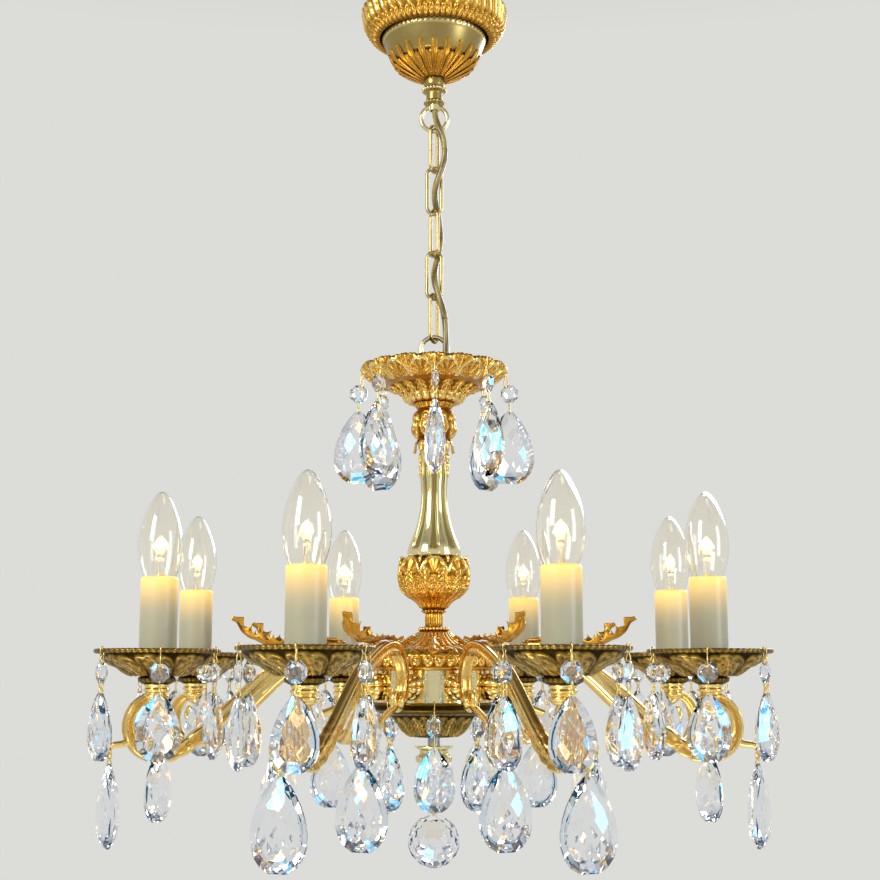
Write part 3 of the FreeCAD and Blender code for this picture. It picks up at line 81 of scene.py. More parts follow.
def tall(node):
    """The height of a CAD node."""
    return top(node) - foot(node)


def middle(node):
    """The middle of a CAD node's box."""
    low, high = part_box(node)
    return (low + high) / 2


LAMP_CIRCLE = math.hypot(middle("bobeche_1").x, middle("bobeche_1").y)
TENON = top("hub_band_lower")
SEAT_TOP = foot("bobeche_1")
DISH_RIM = top("bobeche_1")
DISH_RADIUS = (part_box("bobeche_1")[1].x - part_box("bobeche_1")[0].x) / 2
HUB_RADIUS = reach("hub_band_lower")


def arm_angle(number):
    """The direction of an arm or candle, counted from 1, as an angle from +X."""
    return TAU / LIGHTS * (number - 0.5)


def spot(radius, height, angle, spin=0.0):
    """The place at a radius and height, turned about the chandelier's axis."""
    return Matrix.Rotation(angle, 4, "Z") @ Matrix.Translation((radius, 0, height)) @ Matrix.Rotation(spin, 4, "Z")


# ---------------------------------------------------------------- shells: points and faces before they are pieces

class Shell:
    """Points, faces, the height of the relief at each point (0 deep, 1 high) and each face's finish."""

    def __init__(self, points, quads=(), triangles=(), relief=None, finish=0):
        self.points = np.asarray(points, float).reshape(-1, 3)
        self.quads = np.asarray(quads, int).reshape(-1, 4)
        self.triangles = np.asarray(triangles, int).reshape(-1, 3)
        self.relief = np.ones(len(self.points)) if relief is None else np.asarray(relief, float).ravel()
        self.finish = np.full(len(self.quads) + len(self.triangles), finish)

    def moved(self, matrix):
        """A copy of the shell at another place."""
        copy = Shell(self.points, self.quads, self.triangles, self.relief)
        matrix = np.array(matrix)
        copy.points = self.points @ matrix[:3, :3].T + matrix[:3, 3]
        copy.finish = self.finish
        return copy


def merged(shells):
    """Several shells as one."""
    start = 0
    quads, triangles, quad_finish, triangle_finish = [], [], [], []
    for shell in shells:
        quads.append(shell.quads + start)
        triangles.append(shell.triangles + start)
        quad_finish.append(shell.finish[:len(shell.quads)])
        triangle_finish.append(shell.finish[len(shell.quads):])
        start += len(shell.points)
    whole = Shell(np.vstack([shell.points for shell in shells]), np.vstack(quads), np.vstack(triangles),
                  np.concatenate([shell.relief for shell in shells]))
    whole.finish = np.concatenate(quad_finish + triangle_finish)
    return whole


def as_object(name, shell, finishes, smooth=True):
    """A shell as an object, with one material for each of its finishes."""
    mesh = bpy.data.meshes.new(name)
    mesh.from_pydata(shell.points.tolist(), [], shell.quads.tolist() + shell.triangles.tolist())
    for finish in finishes:
        mesh.materials.append(finish)
    mesh.polygons.foreach_set("material_index", shell.finish.astype(np.int32))
    mesh.polygons.foreach_set("use_smooth", np.full(len(mesh.polygons), smooth))
    mesh.attributes.new("relief", "FLOAT", "POINT").data.foreach_set("value", shell.relief.astype(np.float32))
    piece = bpy.data.objects.new(name, mesh)
    bpy.context.scene.collection.objects.link(piece)
    return piece


def fitted(piece, body, slot, *nodes):
    """Hangs a finished piece on its body, in the place of its CAD nodes."""
    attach(piece, body)
    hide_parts(*nodes)
    return piece


def plain_mesh(piece):
    """Turns a piece's modifiers, or a curve, into a plain mesh."""
    evaluated = piece.evaluated_get(bpy.context.evaluated_depsgraph_get())
    mesh = bpy.data.meshes.new_from_object(evaluated, depsgraph=bpy.context.evaluated_depsgraph_get())
    result = bpy.data.objects.new(piece.name + "_mesh", mesh)
    name = piece.name
    bpy.data.objects.remove(piece)
    result.name = name
    bpy.context.scene.collection.objects.link(result)
    return result


# ---------------------------------------------------------------- outlines and turned shells

def outline(corners, step=0.7 * MM, soften=2):
    """An outline from its foot to its top: corners are (radius, height, bulge of the side after it)."""
    sides = []
    share = np.linspace(0, 1, 16, endpoint=False)[:, None]
    for here, there in zip(corners, corners[1:]):
        start, end = np.array(here[:2]), np.array(there[:2])
        bulge = here[2] if len(here) > 2 else 0
        outward = np.array([end[1] - start[1], start[0] - end[0]])
        sides.append(start + (end - start) * share + outward * bulge * 4 * share * (1 - share))
    line = np.vstack(sides + [np.array([corners[-1][:2]])])
    return evenly(line, step, soften)


def evenly(line, step, soften=0):
    """A line resampled at even steps, its corners softened."""
    lengths = np.concatenate([[0], np.cumsum(np.linalg.norm(np.diff(line, axis=0), axis=1))])
    stations = np.linspace(0, lengths[-1], max(4, int(lengths[-1] / step)))
    even = np.column_stack([np.interp(stations, lengths, line[:, axis]) for axis in range(line.shape[1])])
    for _ in range(soften):
        even[1:-1] = (even[:-2] + 2 * even[1:-1] + even[2:]) / 4
    return even


def profile(base, corners, step=0.7 * MM, soften=2, closed=False):
    """An outline whose corners are in millimetres over a base height; a closed one comes back to its start."""
    line = [(corner[0] * MM, base + corner[1] * MM, *corner[2:]) for corner in corners]
    if not closed:
        return outline(line, step, soften)
    return outline(line + [line[0][:2]], step, soften)[:-1]


def skin(rows, relief=None, closed=False, finish=0):
    """A skin over rows of points, each row a closed ring: the last row meets the first, or both ends have fans."""
    count, around = rows.shape[:2]
    relief_tone = np.ones((count, around)) if relief is None else relief
    index = np.arange(count * around).reshape(count, around)
    here = index if closed else index[:-1]
    above = np.roll(index, -1, axis=0) if closed else index[1:]
    quads = np.stack([here, np.roll(here, -1, axis=1), np.roll(above, -1, axis=1), above], axis=-1)
    points = rows.reshape(-1, 3)
    if closed:
        return Shell(points, quads, (), relief_tone, finish)
    ends = [rows[0].mean(axis=0), rows[-1].mean(axis=0)]
    low_fan = np.column_stack([np.full(around, len(points)), np.roll(index[0], -1), index[0]])
    high_fan = np.column_stack([np.full(around, len(points) + 1), index[-1], np.roll(index[-1], -1)])
    relief_tone = np.concatenate([relief_tone.ravel(), [relief_tone[0].mean(), relief_tone[-1].mean()]])
    return Shell(np.vstack([points, ends]), quads, np.vstack([low_fan, high_fan]), relief_tone, finish)


def turned(line, relief=None, around=256, closed=False, rise=None):
    """A shell turned about the axis. Up to the line's highest point, relief(turn, radius, height) lifts it in
    metres along its normal, and rise(turn, height) lifts it straight up."""
    turn = np.arange(around)[None, :] * TAU / around
    radius, height = line[:, 0:1], line[:, 1:2]
    slope = np.roll(line, -1, axis=0) - np.roll(line, 1, axis=0) if closed else np.gradient(line, axis=0)
    outward = np.column_stack([slope[:, 1], -slope[:, 0]])
    outward /= np.linalg.norm(outward, axis=1)[:, None] + 1e-12
    lift = np.zeros((len(line), around))
    if relief:
        lift = relief(turn, radius, height) * np.clip(radius / (4 * MM), 0, 1)
        lift[np.argmax(height) + 1:] = 0
    out = np.maximum(radius + outward[:, 0:1] * lift, 0)
    up = height + outward[:, 1:2] * lift
    if rise:
        up = up + rise(turn, height)
    # The lift, from lowest to highest, sets the brass colour: painted shade in the deepest parts and on the faces past
    # the highest point, a painted highlight colour on the highest.
    spread = lift.max() - lift.min()
    relief_tone = np.ones_like(lift) if spread < 1e-9 else (lift - lift.min()) / spread
    rows = np.dstack([out * np.cos(turn), out * np.sin(turn), up])
    return skin(rows, relief_tone, True) if closed else skin(rows[1:-1], relief_tone[1:-1])


def smooth_route(name, places, step):
    """Even points along the smooth line that a list of places in millimetres controls."""
    curve = bpy.data.curves.new(name, "CURVE")
    curve.dimensions = "3D"
    curve.resolution_u = 10
    spline = curve.splines.new("NURBS")
    spline.points.add(len(places) - 1)
    for point, place in zip(spline.points, places):
        point.co = (*[value * MM for value in place], 1)
    spline.order_u = 3
    spline.use_endpoint_u = True
    route = bpy.data.objects.new(name, curve)
    bpy.context.scene.collection.objects.link(route)
    line = plain_mesh(route)
    points = np.array([vertex.co for vertex in line.data.vertices])
    bpy.data.objects.remove(line)
    return evenly(points, step)


def swept(line, width, height, around=24, relief=None):
    """A bar along a line in the XZ plane: half width along Y and half height across the line, at each of its
    points and each angle round it, both in metres."""
    slope = np.gradient(line, axis=0)
    slope /= np.linalg.norm(slope, axis=1)[:, None]
    side = np.array([0.0, 1.0, 0.0])
    upward = np.column_stack([-slope[:, 2], np.zeros(len(line)), slope[:, 0]])
    rows = line[:, None] + side * width[:, :, None] + upward[:, None] * height[:, :, None]
    return skin(rows, relief)


def rod(line, radius, around=16):
    """A round rod along a line in the XZ plane; its radius is one value or one for each point."""
    angle = np.arange(around)[None, :] * TAU / around
    radii = np.broadcast_to(np.asarray(radius, float).reshape(-1, 1), (len(line), 1))
    return swept(line, radii * np.cos(angle), radii * np.sin(angle), around)


def blade(path, half_width, thick, cup=None, rib=0.6 * MM, veins=0, step=1.2 * MM, across=12):
    """A cast leaf along a path of (out, up) corners in millimetres: half_width and cup, both in metres, follow
    the share of its length; cup lifts its edges, a midrib stands on it and veins slant from it."""
    flat = outline([(out * MM, up * MM) for out, up in path], step, 6)
    line = np.column_stack([flat[:, 0], np.zeros(len(flat)), flat[:, 1]])
    share = np.linspace(0, 1, len(line))[:, None]
    over = np.linspace(1, -1, across + 1)[None, :]
    half = half_width(share)
    lift = (cup(share) if cup else 0) * np.abs(over) ** 2 + rib * ridge(over, 0.16)
    lift = lift + veins * np.cos(TAU * 5 * (share + 0.25 * np.abs(over))) * np.clip(np.abs(over) * 4, 0, 1)
    wall = thick / 2 * (1 - 0.55 * over ** 2)
    width = np.hstack([half * over, (half * over)[:, ::-1]])
    height = np.hstack([lift + wall, (lift - wall)[:, ::-1]])
    # Painted light: raised parts of the leaf take the brass's highlight colour and hollows its dark colour, and the
    # back face gets only 0.6 of the share, painted shade under the leaf.
    relief_tone = np.clip(0.35 + 0.5 * (lift - lift.min()) / (np.ptp(lift) + 1e-9), 0, 1)
    return swept(line, width, height, relief=np.hstack([relief_tone, relief_tone[:, ::-1] * 0.6]))


# ---------------------------------------------------------------- cast ornament, as heights from 0 to 1

def repeats(turn, count, offset=0.0):
    """The place across each of the repeats round a piece, from -1 to 1."""
    return ((turn / TAU * count + offset) % 1) * 2 - 1


def band(height, low, high, soft=0.8 * MM):
    """1 between two heights, 0 outside them."""
    return np.clip((height - low) / soft, 0, 1) * np.clip((high - height) / soft, 0, 1)


def share_of(height, low, high):
    """How far up a height is between two others."""
    return np.clip((height - low) / (high - low), 0, 1)


def ridge(distance, width):
    """A rounded ridge along the line where a distance is nought."""
    return np.exp(-(distance / width) ** 2)


def gadroons(turn, count, offset=0.0):
    """Rounded lobes with sharp valleys."""
    return np.sqrt(np.clip(1 - np.abs(repeats(turn, count, offset)) ** 2.2, 0, 1))


def shells_of(turn, up, count, ribs=4, offset=0.0):
    """Scalloped fans: ribs spread from each one's foot to a raised arc."""
    across = repeats(turn, count, offset)
    distance = np.hypot(across, up * 0.98)
    angle = np.arctan2(across, up + 0.05)
    inside = np.clip((1.0 - distance) / 0.08, 0, 1)
    fan = 0.42 + 0.30 * np.cos(2 * ribs * angle) * np.clip(distance * 2, 0, 1)
    return np.clip(inside * fan + ridge(distance - 0.93, 0.09), 0, 1)


def leaves_of(turn, up, count, lobes=4, offset=0.0):
    """Acanthus leaves that stand foot down: a midrib, slanting veins and a lobed edge."""
    across = np.abs(repeats(turn, count, offset))
    half = 0.97 * np.sqrt(np.clip(1 - up ** 2.6, 0, 1)) * (0.87 + 0.13 * np.cos(TAU * lobes * up))
    inside = np.clip((half - across) / 0.14, 0, 1)
    blade = 0.34 + 0.30 * np.clip(across / np.maximum(half, 0.05), 0, 1) ** 2
    veins = 0.20 * np.cos(TAU * lobes * (up + 0.45 * across)) * np.clip(across * 5, 0, 1)
    return np.clip(inside * (blade + veins + 0.5 * ridge(across, 0.10)), 0, 1)


def volutes_of(turn, up, count, coils=1.5, offset=0.0):
    """Pairs of mirrored spirals with a button in each eye."""
    across = np.abs(repeats(turn, count, offset)) - 0.5
    rise = (up - 0.5) * 1.05
    distance = np.hypot(across, rise) * 2
    angle = np.arctan2(rise, across)
    spiral = 0.5 + 0.5 * np.cos(TAU * coils * distance - angle)
    inside = np.clip((1 - distance) / 0.12, 0, 1)
    return np.clip(inside * (0.25 + 0.6 * spiral) + 0.7 * ridge(distance, 0.20), 0, 1)


def bead_row(turn, height, count, middle_height, radius, at_radius):
    """A row of half-round beads; the height of each is its own radius."""
    across = repeats(turn, count) * math.pi * at_radius / count
    square = radius ** 2 - across ** 2 - (height - middle_height) ** 2
    return np.sqrt(np.clip(square, 0, None))


# ---------------------------------------------------------------- materials

def node(tree, kind, links=None, **settings):
    """Adds a node with its settings; links give each input a value or another node's output."""
    made = tree.nodes.new(kind)
    for name, value in settings.items():
        setattr(made, name, value)
    for key, value in (links or {}).items():
        if isinstance(value, bpy.types.NodeSocket):
            tree.links.new(value, made.inputs[key])
        else:
            made.inputs[key].default_value = value
    return made


def linear(hex_colour):
    """An sRGB hex colour as linear red, green, blue and 1."""
    shares = [int(hex_colour[start:start + 2], 16) / 255 for start in (1, 3, 5)]
    return [c / 12.92 if c <= 0.04045 else ((c + 0.055) / 1.055) ** 2.4 for c in shares] + [1.0]


def new_material(name):
    """An empty material and its node tree."""
    material = bpy.data.materials.new(name)
    material.use_nodes = True
    material.node_tree.nodes.clear()
    return material, material.node_tree


def noise(tree, size, detail=3.0, mapping=None):
    """Noise whose features are about as large as the size, in metres."""
    place = mapping or node(tree, "ShaderNodeTexCoord").outputs["Object"]
    return node(tree, "ShaderNodeTexNoise", {"Vector": place, "Scale": 1 / size, "Detail": detail}).outputs["Fac"]


def mixed(tree, share, low, high):
    """A colour between two, by a share."""
    made = node(tree, "ShaderNodeMix", data_type="RGBA")
    for socket, value in zip((made.inputs[0], made.inputs[6], made.inputs[7]), (share, low, high)):
        if isinstance(value, bpy.types.NodeSocket):
            tree.links.new(value, socket)
        else:
            socket.default_value = value
    return made.outputs[2]


def scaled(tree, value, low, high, from_low=0.0, from_high=1.0):
    """A value moved from one range to another."""
    return node(tree, "ShaderNodeMapRange", {"Value": value, "From Min": from_low, "From Max": from_high,
                                             "To Min": low, "To Max": high}).outputs["Result"]


def brass(name, high, body, recess, polish, grain, patina_and_painted_shade=0.75, cast=True):
    """Brass whose ridges take a painted highlight colour and whose recesses take painted shade mixed with real toning;
    without relief it is cloudy.
    """
    material, tree = new_material(name)
    cloudy = noise(tree, 9 * MM)
    depth = scaled(tree, noise(tree, 25 * MM), 0.6, 1.0)
    if cast:
        depth = node(tree, "ShaderNodeAttribute", attribute_name="relief").outputs["Fac"]
    relief_tone = node(tree, "ShaderNodeMath", {0: depth, 1: scaled(tree, cloudy, -0.16, 0.16)}, operation="ADD").outputs[0]
    # The recess colour is painted shade together with toning; the high colour is a painted highlight on the ridges.
    dark_to_body = mixed(tree, scaled(tree, relief_tone, 1 - patina_and_painted_shade, 1.0, 0.02, 0.38), linear(recess), linear(body))
    colour = mixed(tree, scaled(tree, relief_tone, 0.0, 1.0, 0.45, 0.95), dark_to_body, linear(high))
    rough_recess = scaled(tree, relief_tone, polish + 0.22, polish, 0.05, 0.6)
    fine = noise(tree, grain, 5.0)
    rough = node(tree, "ShaderNodeMath", {0: rough_recess, 1: scaled(tree, fine, -0.05, 0.07)}, operation="ADD")
    bump = node(tree, "ShaderNodeBump", {"Height": fine, "Strength": 0.22, "Distance": 0.12 * MM})
    shader = node(tree, "ShaderNodeBsdfPrincipled", {
        "Base Color": colour, "Metallic": 1.0, "Roughness": rough.outputs[0], "Normal": bump.outputs["Normal"]})
    node(tree, "ShaderNodeOutputMaterial", {"Surface": shader.outputs["BSDF"]})
    return material


def gold_plated_brass():
    # Cast brass, brightly gold plated, then toned brown and wiped. Its high edges get a painted highlight colour and
    # its recesses painted shade over the toning.
    return brass("gold_plated_cast_brass", "#F7D98A", "#D9A03A", "#5C370A", 0.17, 1.1 * MM)


def polished_brass():
    # Spun and turned brass under lacquer: pale, almost silvery, with sharp reflections. Its ridges take a painted
    # highlight colour and its hollows, such as the vase's flutes, painted shade.
    return brass("polished_lacquered_brass", "#E6D9A4", "#D2BF7C", "#6E5620", 0.09, 0.9 * MM, 0.6)


def drawn_brass():
    # Bands, rings and collars drawn or turned from plain stock and buffed: the same lacquered brass, no relief.
    return brass("buffed_plain_brass", "#E9DDAE", "#D6C486", "#8A6F2C", 0.07, 0.9 * MM, 0.5, False)


def antique_brass():
    # Cast brass with a brown-black patina, rubbed back to metal on the edges only.
    return brass("antique_patinated_brass", "#C9A85A", "#7E6428", "#231803", 0.26, 1.0 * MM, 0.95)


def chain_brass():
    # Brass-plated steel wire, dipped and tumbled: soft grey-gold shine.
    return brass("antiqued_chain_wire", "#C8B47A", "#AE9655", "#54431A", 0.22, 0.8 * MM, 0.6)


def pin_wire():
    # Bright drawn brass wire, bent by hand.
    return brass("bright_brass_wire", "#F2DC92", "#DDBB5E", "#8B6620", 0.16, 0.6 * MM, 0.4)


def zinc_plated_steel():
    # Pressed mild steel with bright zinc: faint spangle, soft grey reflections.
    material, tree = new_material("zinc_plated_steel")
    spangle = node(tree, "ShaderNodeTexVoronoi", {
        "Vector": node(tree, "ShaderNodeTexCoord").outputs["Object"], "Scale": 1 / (3 * MM)}).outputs["Distance"]
    colour = mixed(tree, spangle, linear("#8E9294"), linear("#BFC3C4"))
    shader = node(tree, "ShaderNodeBsdfPrincipled", {
        "Base Color": colour, "Metallic": 1.0, "Roughness": scaled(tree, noise(tree, 2 * MM), 0.28, 0.42)})
    node(tree, "ShaderNodeOutputMaterial", {"Surface": shader.outputs["BSDF"]})
    return material


def moulded_thermoset():
    # Off-white urea moulding: satin, with a fine moulded grain.
    material, tree = new_material("moulded_thermoset")
    grain = noise(tree, 0.7 * MM, 4.0)
    bump = node(tree, "ShaderNodeBump", {"Height": grain, "Strength": 0.15, "Distance": 0.05 * MM})
    shader = node(tree, "ShaderNodeBsdfPrincipled", {
        "Base Color": mixed(tree, noise(tree, 12 * MM), linear("#DAD6C8"), linear("#E6E2D6")),
        "Roughness": scaled(tree, grain, 0.38, 0.5), "Normal": bump.outputs["Normal"]})
    node(tree, "ShaderNodeOutputMaterial", {"Surface": shader.outputs["BSDF"]})
    return material


def nickel_cap():
    # Rolled nickel-plated lamp cap.
    material, tree = new_material("nickel_plated_cap")
    shader = node(tree, "ShaderNodeBsdfPrincipled", {
        "Base Color": mixed(tree, noise(tree, 3 * MM), linear("#B9B8B2"), linear("#D2D1CC")), "Metallic": 1.0,
        "Roughness": scaled(tree, noise(tree, 1.5 * MM), 0.2, 0.32)})
    node(tree, "ShaderNodeOutputMaterial", {"Surface": shader.outputs["BSDF"]})
    return material


def candle_plastic():
    # Ivory polycarbonate sleeve: satin and milky. Its upper end has a painted glow: there its colour turns warm and it
    # emits light, standing for the lamp's light through the plastic.
    material, tree = new_material("milky_candle_plastic")
    place = node(tree, "ShaderNodeTexCoord").outputs["Object"]
    height = node(tree, "ShaderNodeSeparateXYZ", {"Vector": place}).outputs["Z"]
    # Painted glow, from a little below the middle to the top of the sleeve.
    glow = scaled(tree, height, 0.0, 1.0, foot("candle_sleeves") + 0.45 * tall("candle_sleeves"),
                  top("candle_sleeves"))
    glow = node(tree, "ShaderNodeMath", {0: glow, 1: 2.2}, operation="POWER").outputs[0]
    mottle = noise(tree, 14 * MM)
    ivory = mixed(tree, mottle, linear("#D6CBA4"), linear("#E0D6B2"))
    bump = node(tree, "ShaderNodeBump", {"Height": noise(tree, 2.2 * MM), "Strength": 0.08, "Distance": 0.1 * MM})
    shader = node(tree, "ShaderNodeBsdfPrincipled", {
        "Base Color": mixed(tree, glow, ivory, linear("#F6DC92")), "Roughness": scaled(tree, mottle, 0.3, 0.4),
        "Subsurface Weight": 0.35, "Subsurface Radius": (0.008, 0.006, 0.003), "Subsurface Scale": 1.0,
        "Emission Color": linear("#FFC452"), "Emission Strength": scaled(tree, glow, 0.0, 0.8),
        "Normal": bump.outputs["Normal"]})
    node(tree, "ShaderNodeOutputMaterial", {"Surface": shader.outputs["BSDF"]})
    return material


def cord_plastic():
    # Gold-tinted clear PVC over two stranded cores: the copper shows as a slow twist under the skin.
    material, tree = new_material("gold_tinted_pvc")
    around = node(tree, "ShaderNodeAttribute", attribute_name="relief").outputs["Fac"]
    strands = noise(tree, 1.2 * MM, 2.0)
    shade = node(tree, "ShaderNodeMath", {0: around, 1: scaled(tree, strands, -0.2, 0.2)}, operation="ADD").outputs[0]
    shader = node(tree, "ShaderNodeBsdfPrincipled", {
        "Base Color": mixed(tree, shade, linear("#6B5A22"), linear("#B7A052")),
        "Roughness": scaled(tree, strands, 0.22, 0.34), "Coat Weight": 0.5, "Coat Roughness": 0.12})
    node(tree, "ShaderNodeOutputMaterial", {"Surface": shader.outputs["BSDF"]})
    return material


def blown_glass():
    # Thin blown soda glass: clear, faintly warm, with very slight waves.
    material, tree = new_material("blown_lamp_glass")
    waves = node(tree, "ShaderNodeBump", {"Height": noise(tree, 12 * MM, 1.0), "Strength": 0.05,
                                          "Distance": 0.3 * MM})
    shader = node(tree, "ShaderNodeBsdfPrincipled", {
        "Base Color": linear("#FDFBF4"), "Roughness": 0.0, "IOR": 1.47, "Transmission Weight": 1.0,
        "Normal": waves.outputs["Normal"]})
    node(tree, "ShaderNodeOutputMaterial", {"Surface": shader.outputs["BSDF"]})
    return material


def lead_crystal():
    # Cut and polished lead crystal, IOR about 1.56. Its dispersion splits light, so facets flash blue and
    # amber; a thin film that reflects blue and lets amber through stands for that.
    material, tree = new_material("cut_lead_crystal")
    clouds = noise(tree, 9 * MM, 1.0)
    shader = node(tree, "ShaderNodeBsdfPrincipled", {
        "Base Color": mixed(tree, clouds, linear("#F3F6FF"), linear("#FDFBF6")), "Roughness": 0.0, "IOR": 1.56,
        "Transmission Weight": 1.0, "Thin Film Thickness": 165.0, "Thin Film IOR": 2.0})
    node(tree, "ShaderNodeOutputMaterial", {"Surface": shader.outputs["BSDF"]})
    return material


def glowing_filament():
    # Tungsten coil at about 2700 K.
    material, tree = new_material("glowing_tungsten")
    heat = noise(tree, 2 * MM, 2.0)
    shader = node(tree, "ShaderNodeEmission", {
        "Color": mixed(tree, heat, linear("#FFB84A"), linear("#FFE2A0")), "Strength": 14.0})
    node(tree, "ShaderNodeOutputMaterial", {"Surface": shader.outputs[0]})
    return material


GOLD = gold_plated_brass()
POLISHED = polished_brass()
BUFFED = drawn_brass()
ANTIQUE = antique_brass()
CHAIN = chain_brass()
WIRE = pin_wire()
STEEL = zinc_plated_steel()
THERMOSET = moulded_thermoset()
CAP = nickel_cap()
SLEEVE = candle_plastic()
CORD = cord_plastic()
BULB = blown_glass()
CRYSTAL = lead_crystal()
FILAMENT = glowing_filament()


# ---------------------------------------------------------------- node trees that repeat and thicken

def new_tree(name, inputs):
    """A geometry node tree with named inputs: (tree, its group input's outputs, inputs' identifiers)."""
    tree = bpy.data.node_groups.new(name, "GeometryNodeTree")
    tree.interface.new_socket("Geometry", in_out="INPUT", socket_type="NodeSocketGeometry")
    tree.interface.new_socket("Geometry", in_out="OUTPUT", socket_type="NodeSocketGeometry")
    names = {}
    for label, kind in inputs:
        names[label] = tree.interface.new_socket(label, in_out="INPUT", socket_type=kind).identifier
    return tree, node(tree, "NodeGroupInput").outputs, names


def ended(tree, instances, material):
    """Ends a tree in real geometry with one material."""
    real = node(tree, "GeometryNodeRealizeInstances", {"Geometry": instances}).outputs[0]
    done = node(tree, "GeometryNodeSetMaterial", {"Geometry": real, "Material": material}).outputs[0]
    node(tree, "NodeGroupOutput", {0: done})


def copies_tree():
    """Sets a copy of one piece on every point, turned as the point says."""
    tree, given, names = new_tree("copies on points", (
        ("Piece", "NodeSocketObject"), ("Material", "NodeSocketMaterial")))
    piece = node(tree, "GeometryNodeObjectInfo", {"Object": given["Piece"]})
    turn = node(tree, "GeometryNodeInputNamedAttribute", {"Name": "turn"}, data_type="FLOAT_VECTOR").outputs[0]
    placed = node(tree, "GeometryNodeInstanceOnPoints", {
        "Points": given["Geometry"], "Instance": piece.outputs["Geometry"], "Rotation": turn})
    ended(tree, placed.outputs[0], given["Material"])
    return tree, names


def ring_tree():
    """Sets copies of one piece in an even ring about the axis, facing outwards and leaning."""
    tree, given, names = new_tree("ring of copies", (
        ("Piece", "NodeSocketObject"), ("Material", "NodeSocketMaterial"), ("Count", "NodeSocketInt"),
        ("Radius", "NodeSocketFloat"), ("Height", "NodeSocketFloat"), ("Lean", "NodeSocketFloat"),
        ("Offset", "NodeSocketFloat")))
    circle = node(tree, "GeometryNodeMeshCircle", {"Vertices": given["Count"], "Radius": given["Radius"]})
    lift = node(tree, "ShaderNodeCombineXYZ", {"Z": given["Height"]}).outputs[0]
    around = node(tree, "ShaderNodeCombineXYZ", {"Z": given["Offset"]}).outputs[0]
    ring = node(tree, "GeometryNodeTransform", {
        "Geometry": circle.outputs[0], "Translation": lift, "Rotation": around}).outputs[0]
    place = node(tree, "ShaderNodeSeparateXYZ", {
        "Vector": node(tree, "GeometryNodeInputPosition").outputs[0]}).outputs
    angle = node(tree, "ShaderNodeMath", {0: place["Y"], 1: place["X"]}, operation="ARCTAN2").outputs[0]
    turn = node(tree, "ShaderNodeCombineXYZ", {"Y": given["Lean"], "Z": angle}).outputs[0]
    piece = node(tree, "GeometryNodeObjectInfo", {"Object": given["Piece"]})
    placed = node(tree, "GeometryNodeInstanceOnPoints", {
        "Points": ring, "Instance": piece.outputs["Geometry"], "Rotation": turn})
    ended(tree, placed.outputs[0], given["Material"])
    return tree, names


def wire_tree():
    """Thickens a curve into round wire."""
    tree, given, names = new_tree("round wire", (
        ("Wire Radius", "NodeSocketFloat"), ("Sides", "NodeSocketInt"), ("Material", "NodeSocketMaterial")))
    section = node(tree, "GeometryNodeCurvePrimitiveCircle", {
        "Resolution": given["Sides"], "Radius": given["Wire Radius"]}).outputs[0]
    wire = node(tree, "GeometryNodeCurveToMesh", {
        "Curve": given["Geometry"], "Profile Curve": section, "Fill Caps": True}).outputs[0]
    smooth = node(tree, "GeometryNodeSetShadeSmooth", {"Geometry": wire}).outputs[0]
    relief_tone = node(tree, "GeometryNodeStoreNamedAttribute", {"Geometry": smooth, "Name": "relief", "Value": 0.8})
    ended(tree, relief_tone.outputs[0], given["Material"])
    return tree, names


def fluted_tree():
    """Presses even flutes into a turned piece between two heights."""
    tree, given, names = new_tree("flutes", (
        ("Flutes", "NodeSocketFloat"), ("Depth", "NodeSocketFloat"), ("Low", "NodeSocketFloat"),
        ("High", "NodeSocketFloat"), ("Material", "NodeSocketMaterial")))
    place = node(tree, "ShaderNodeSeparateXYZ", {
        "Vector": node(tree, "GeometryNodeInputPosition").outputs[0]}).outputs
    angle = node(tree, "ShaderNodeMath", {0: place["Y"], 1: place["X"]}, operation="ARCTAN2").outputs[0]
    phase = node(tree, "ShaderNodeMath", {0: angle, 1: given["Flutes"]}, operation="MULTIPLY").outputs[0]
    wave = node(tree, "ShaderNodeMath", {0: phase}, operation="COSINE").outputs[0]
    flute = node(tree, "ShaderNodeMapRange", {"Value": wave, "From Min": -0.35, "From Max": 0.75},
                 interpolation_type="SMOOTHSTEP").outputs[0]
    blend = 4 * MM
    above = node(tree, "ShaderNodeMath", {0: place["Z"], 1: given["Low"]}, operation="SUBTRACT").outputs[0]
    below = node(tree, "ShaderNodeMath", {0: given["High"], 1: place["Z"]}, operation="SUBTRACT").outputs[0]
    inside = node(tree, "ShaderNodeMath", {0: above, 1: below}, operation="MINIMUM").outputs[0]
    share = node(tree, "ShaderNodeMapRange", {"Value": inside, "From Max": blend},
                 interpolation_type="SMOOTHSTEP").outputs[0]
    pressed = node(tree, "ShaderNodeMath", {0: flute, 1: share}, operation="MULTIPLY").outputs[0]
    depth = node(tree, "ShaderNodeMath", {0: pressed, 1: given["Depth"]}, operation="MULTIPLY").outputs[0]
    outward = node(tree, "ShaderNodeVectorMath", {
        0: node(tree, "GeometryNodeInputNormal").outputs[0], 1: (-1.0, -1.0, 0.0)}, operation="MULTIPLY").outputs[0]
    offset = node(tree, "ShaderNodeVectorMath", {0: outward, "Scale": depth}, operation="SCALE").outputs[0]
    # Painted shade and dark reflection: the floors of the flutes get a low share, so the polished brass paints them
    # dark.
    relief_tone = node(tree, "ShaderNodeMath", {0: 1.0, 1: pressed}, operation="SUBTRACT").outputs[0]
    toned = node(tree, "GeometryNodeStoreNamedAttribute", {
        "Geometry": given["Geometry"], "Name": "relief", "Value": relief_tone}).outputs[0]
    moved = node(tree, "GeometryNodeSetPosition", {"Geometry": toned, "Offset": offset}).outputs[0]
    ended(tree, moved, given["Material"])
    return tree, names


COPIES = copies_tree()
RING = ring_tree()
ROUND_WIRE = wire_tree()
FLUTED = fluted_tree()


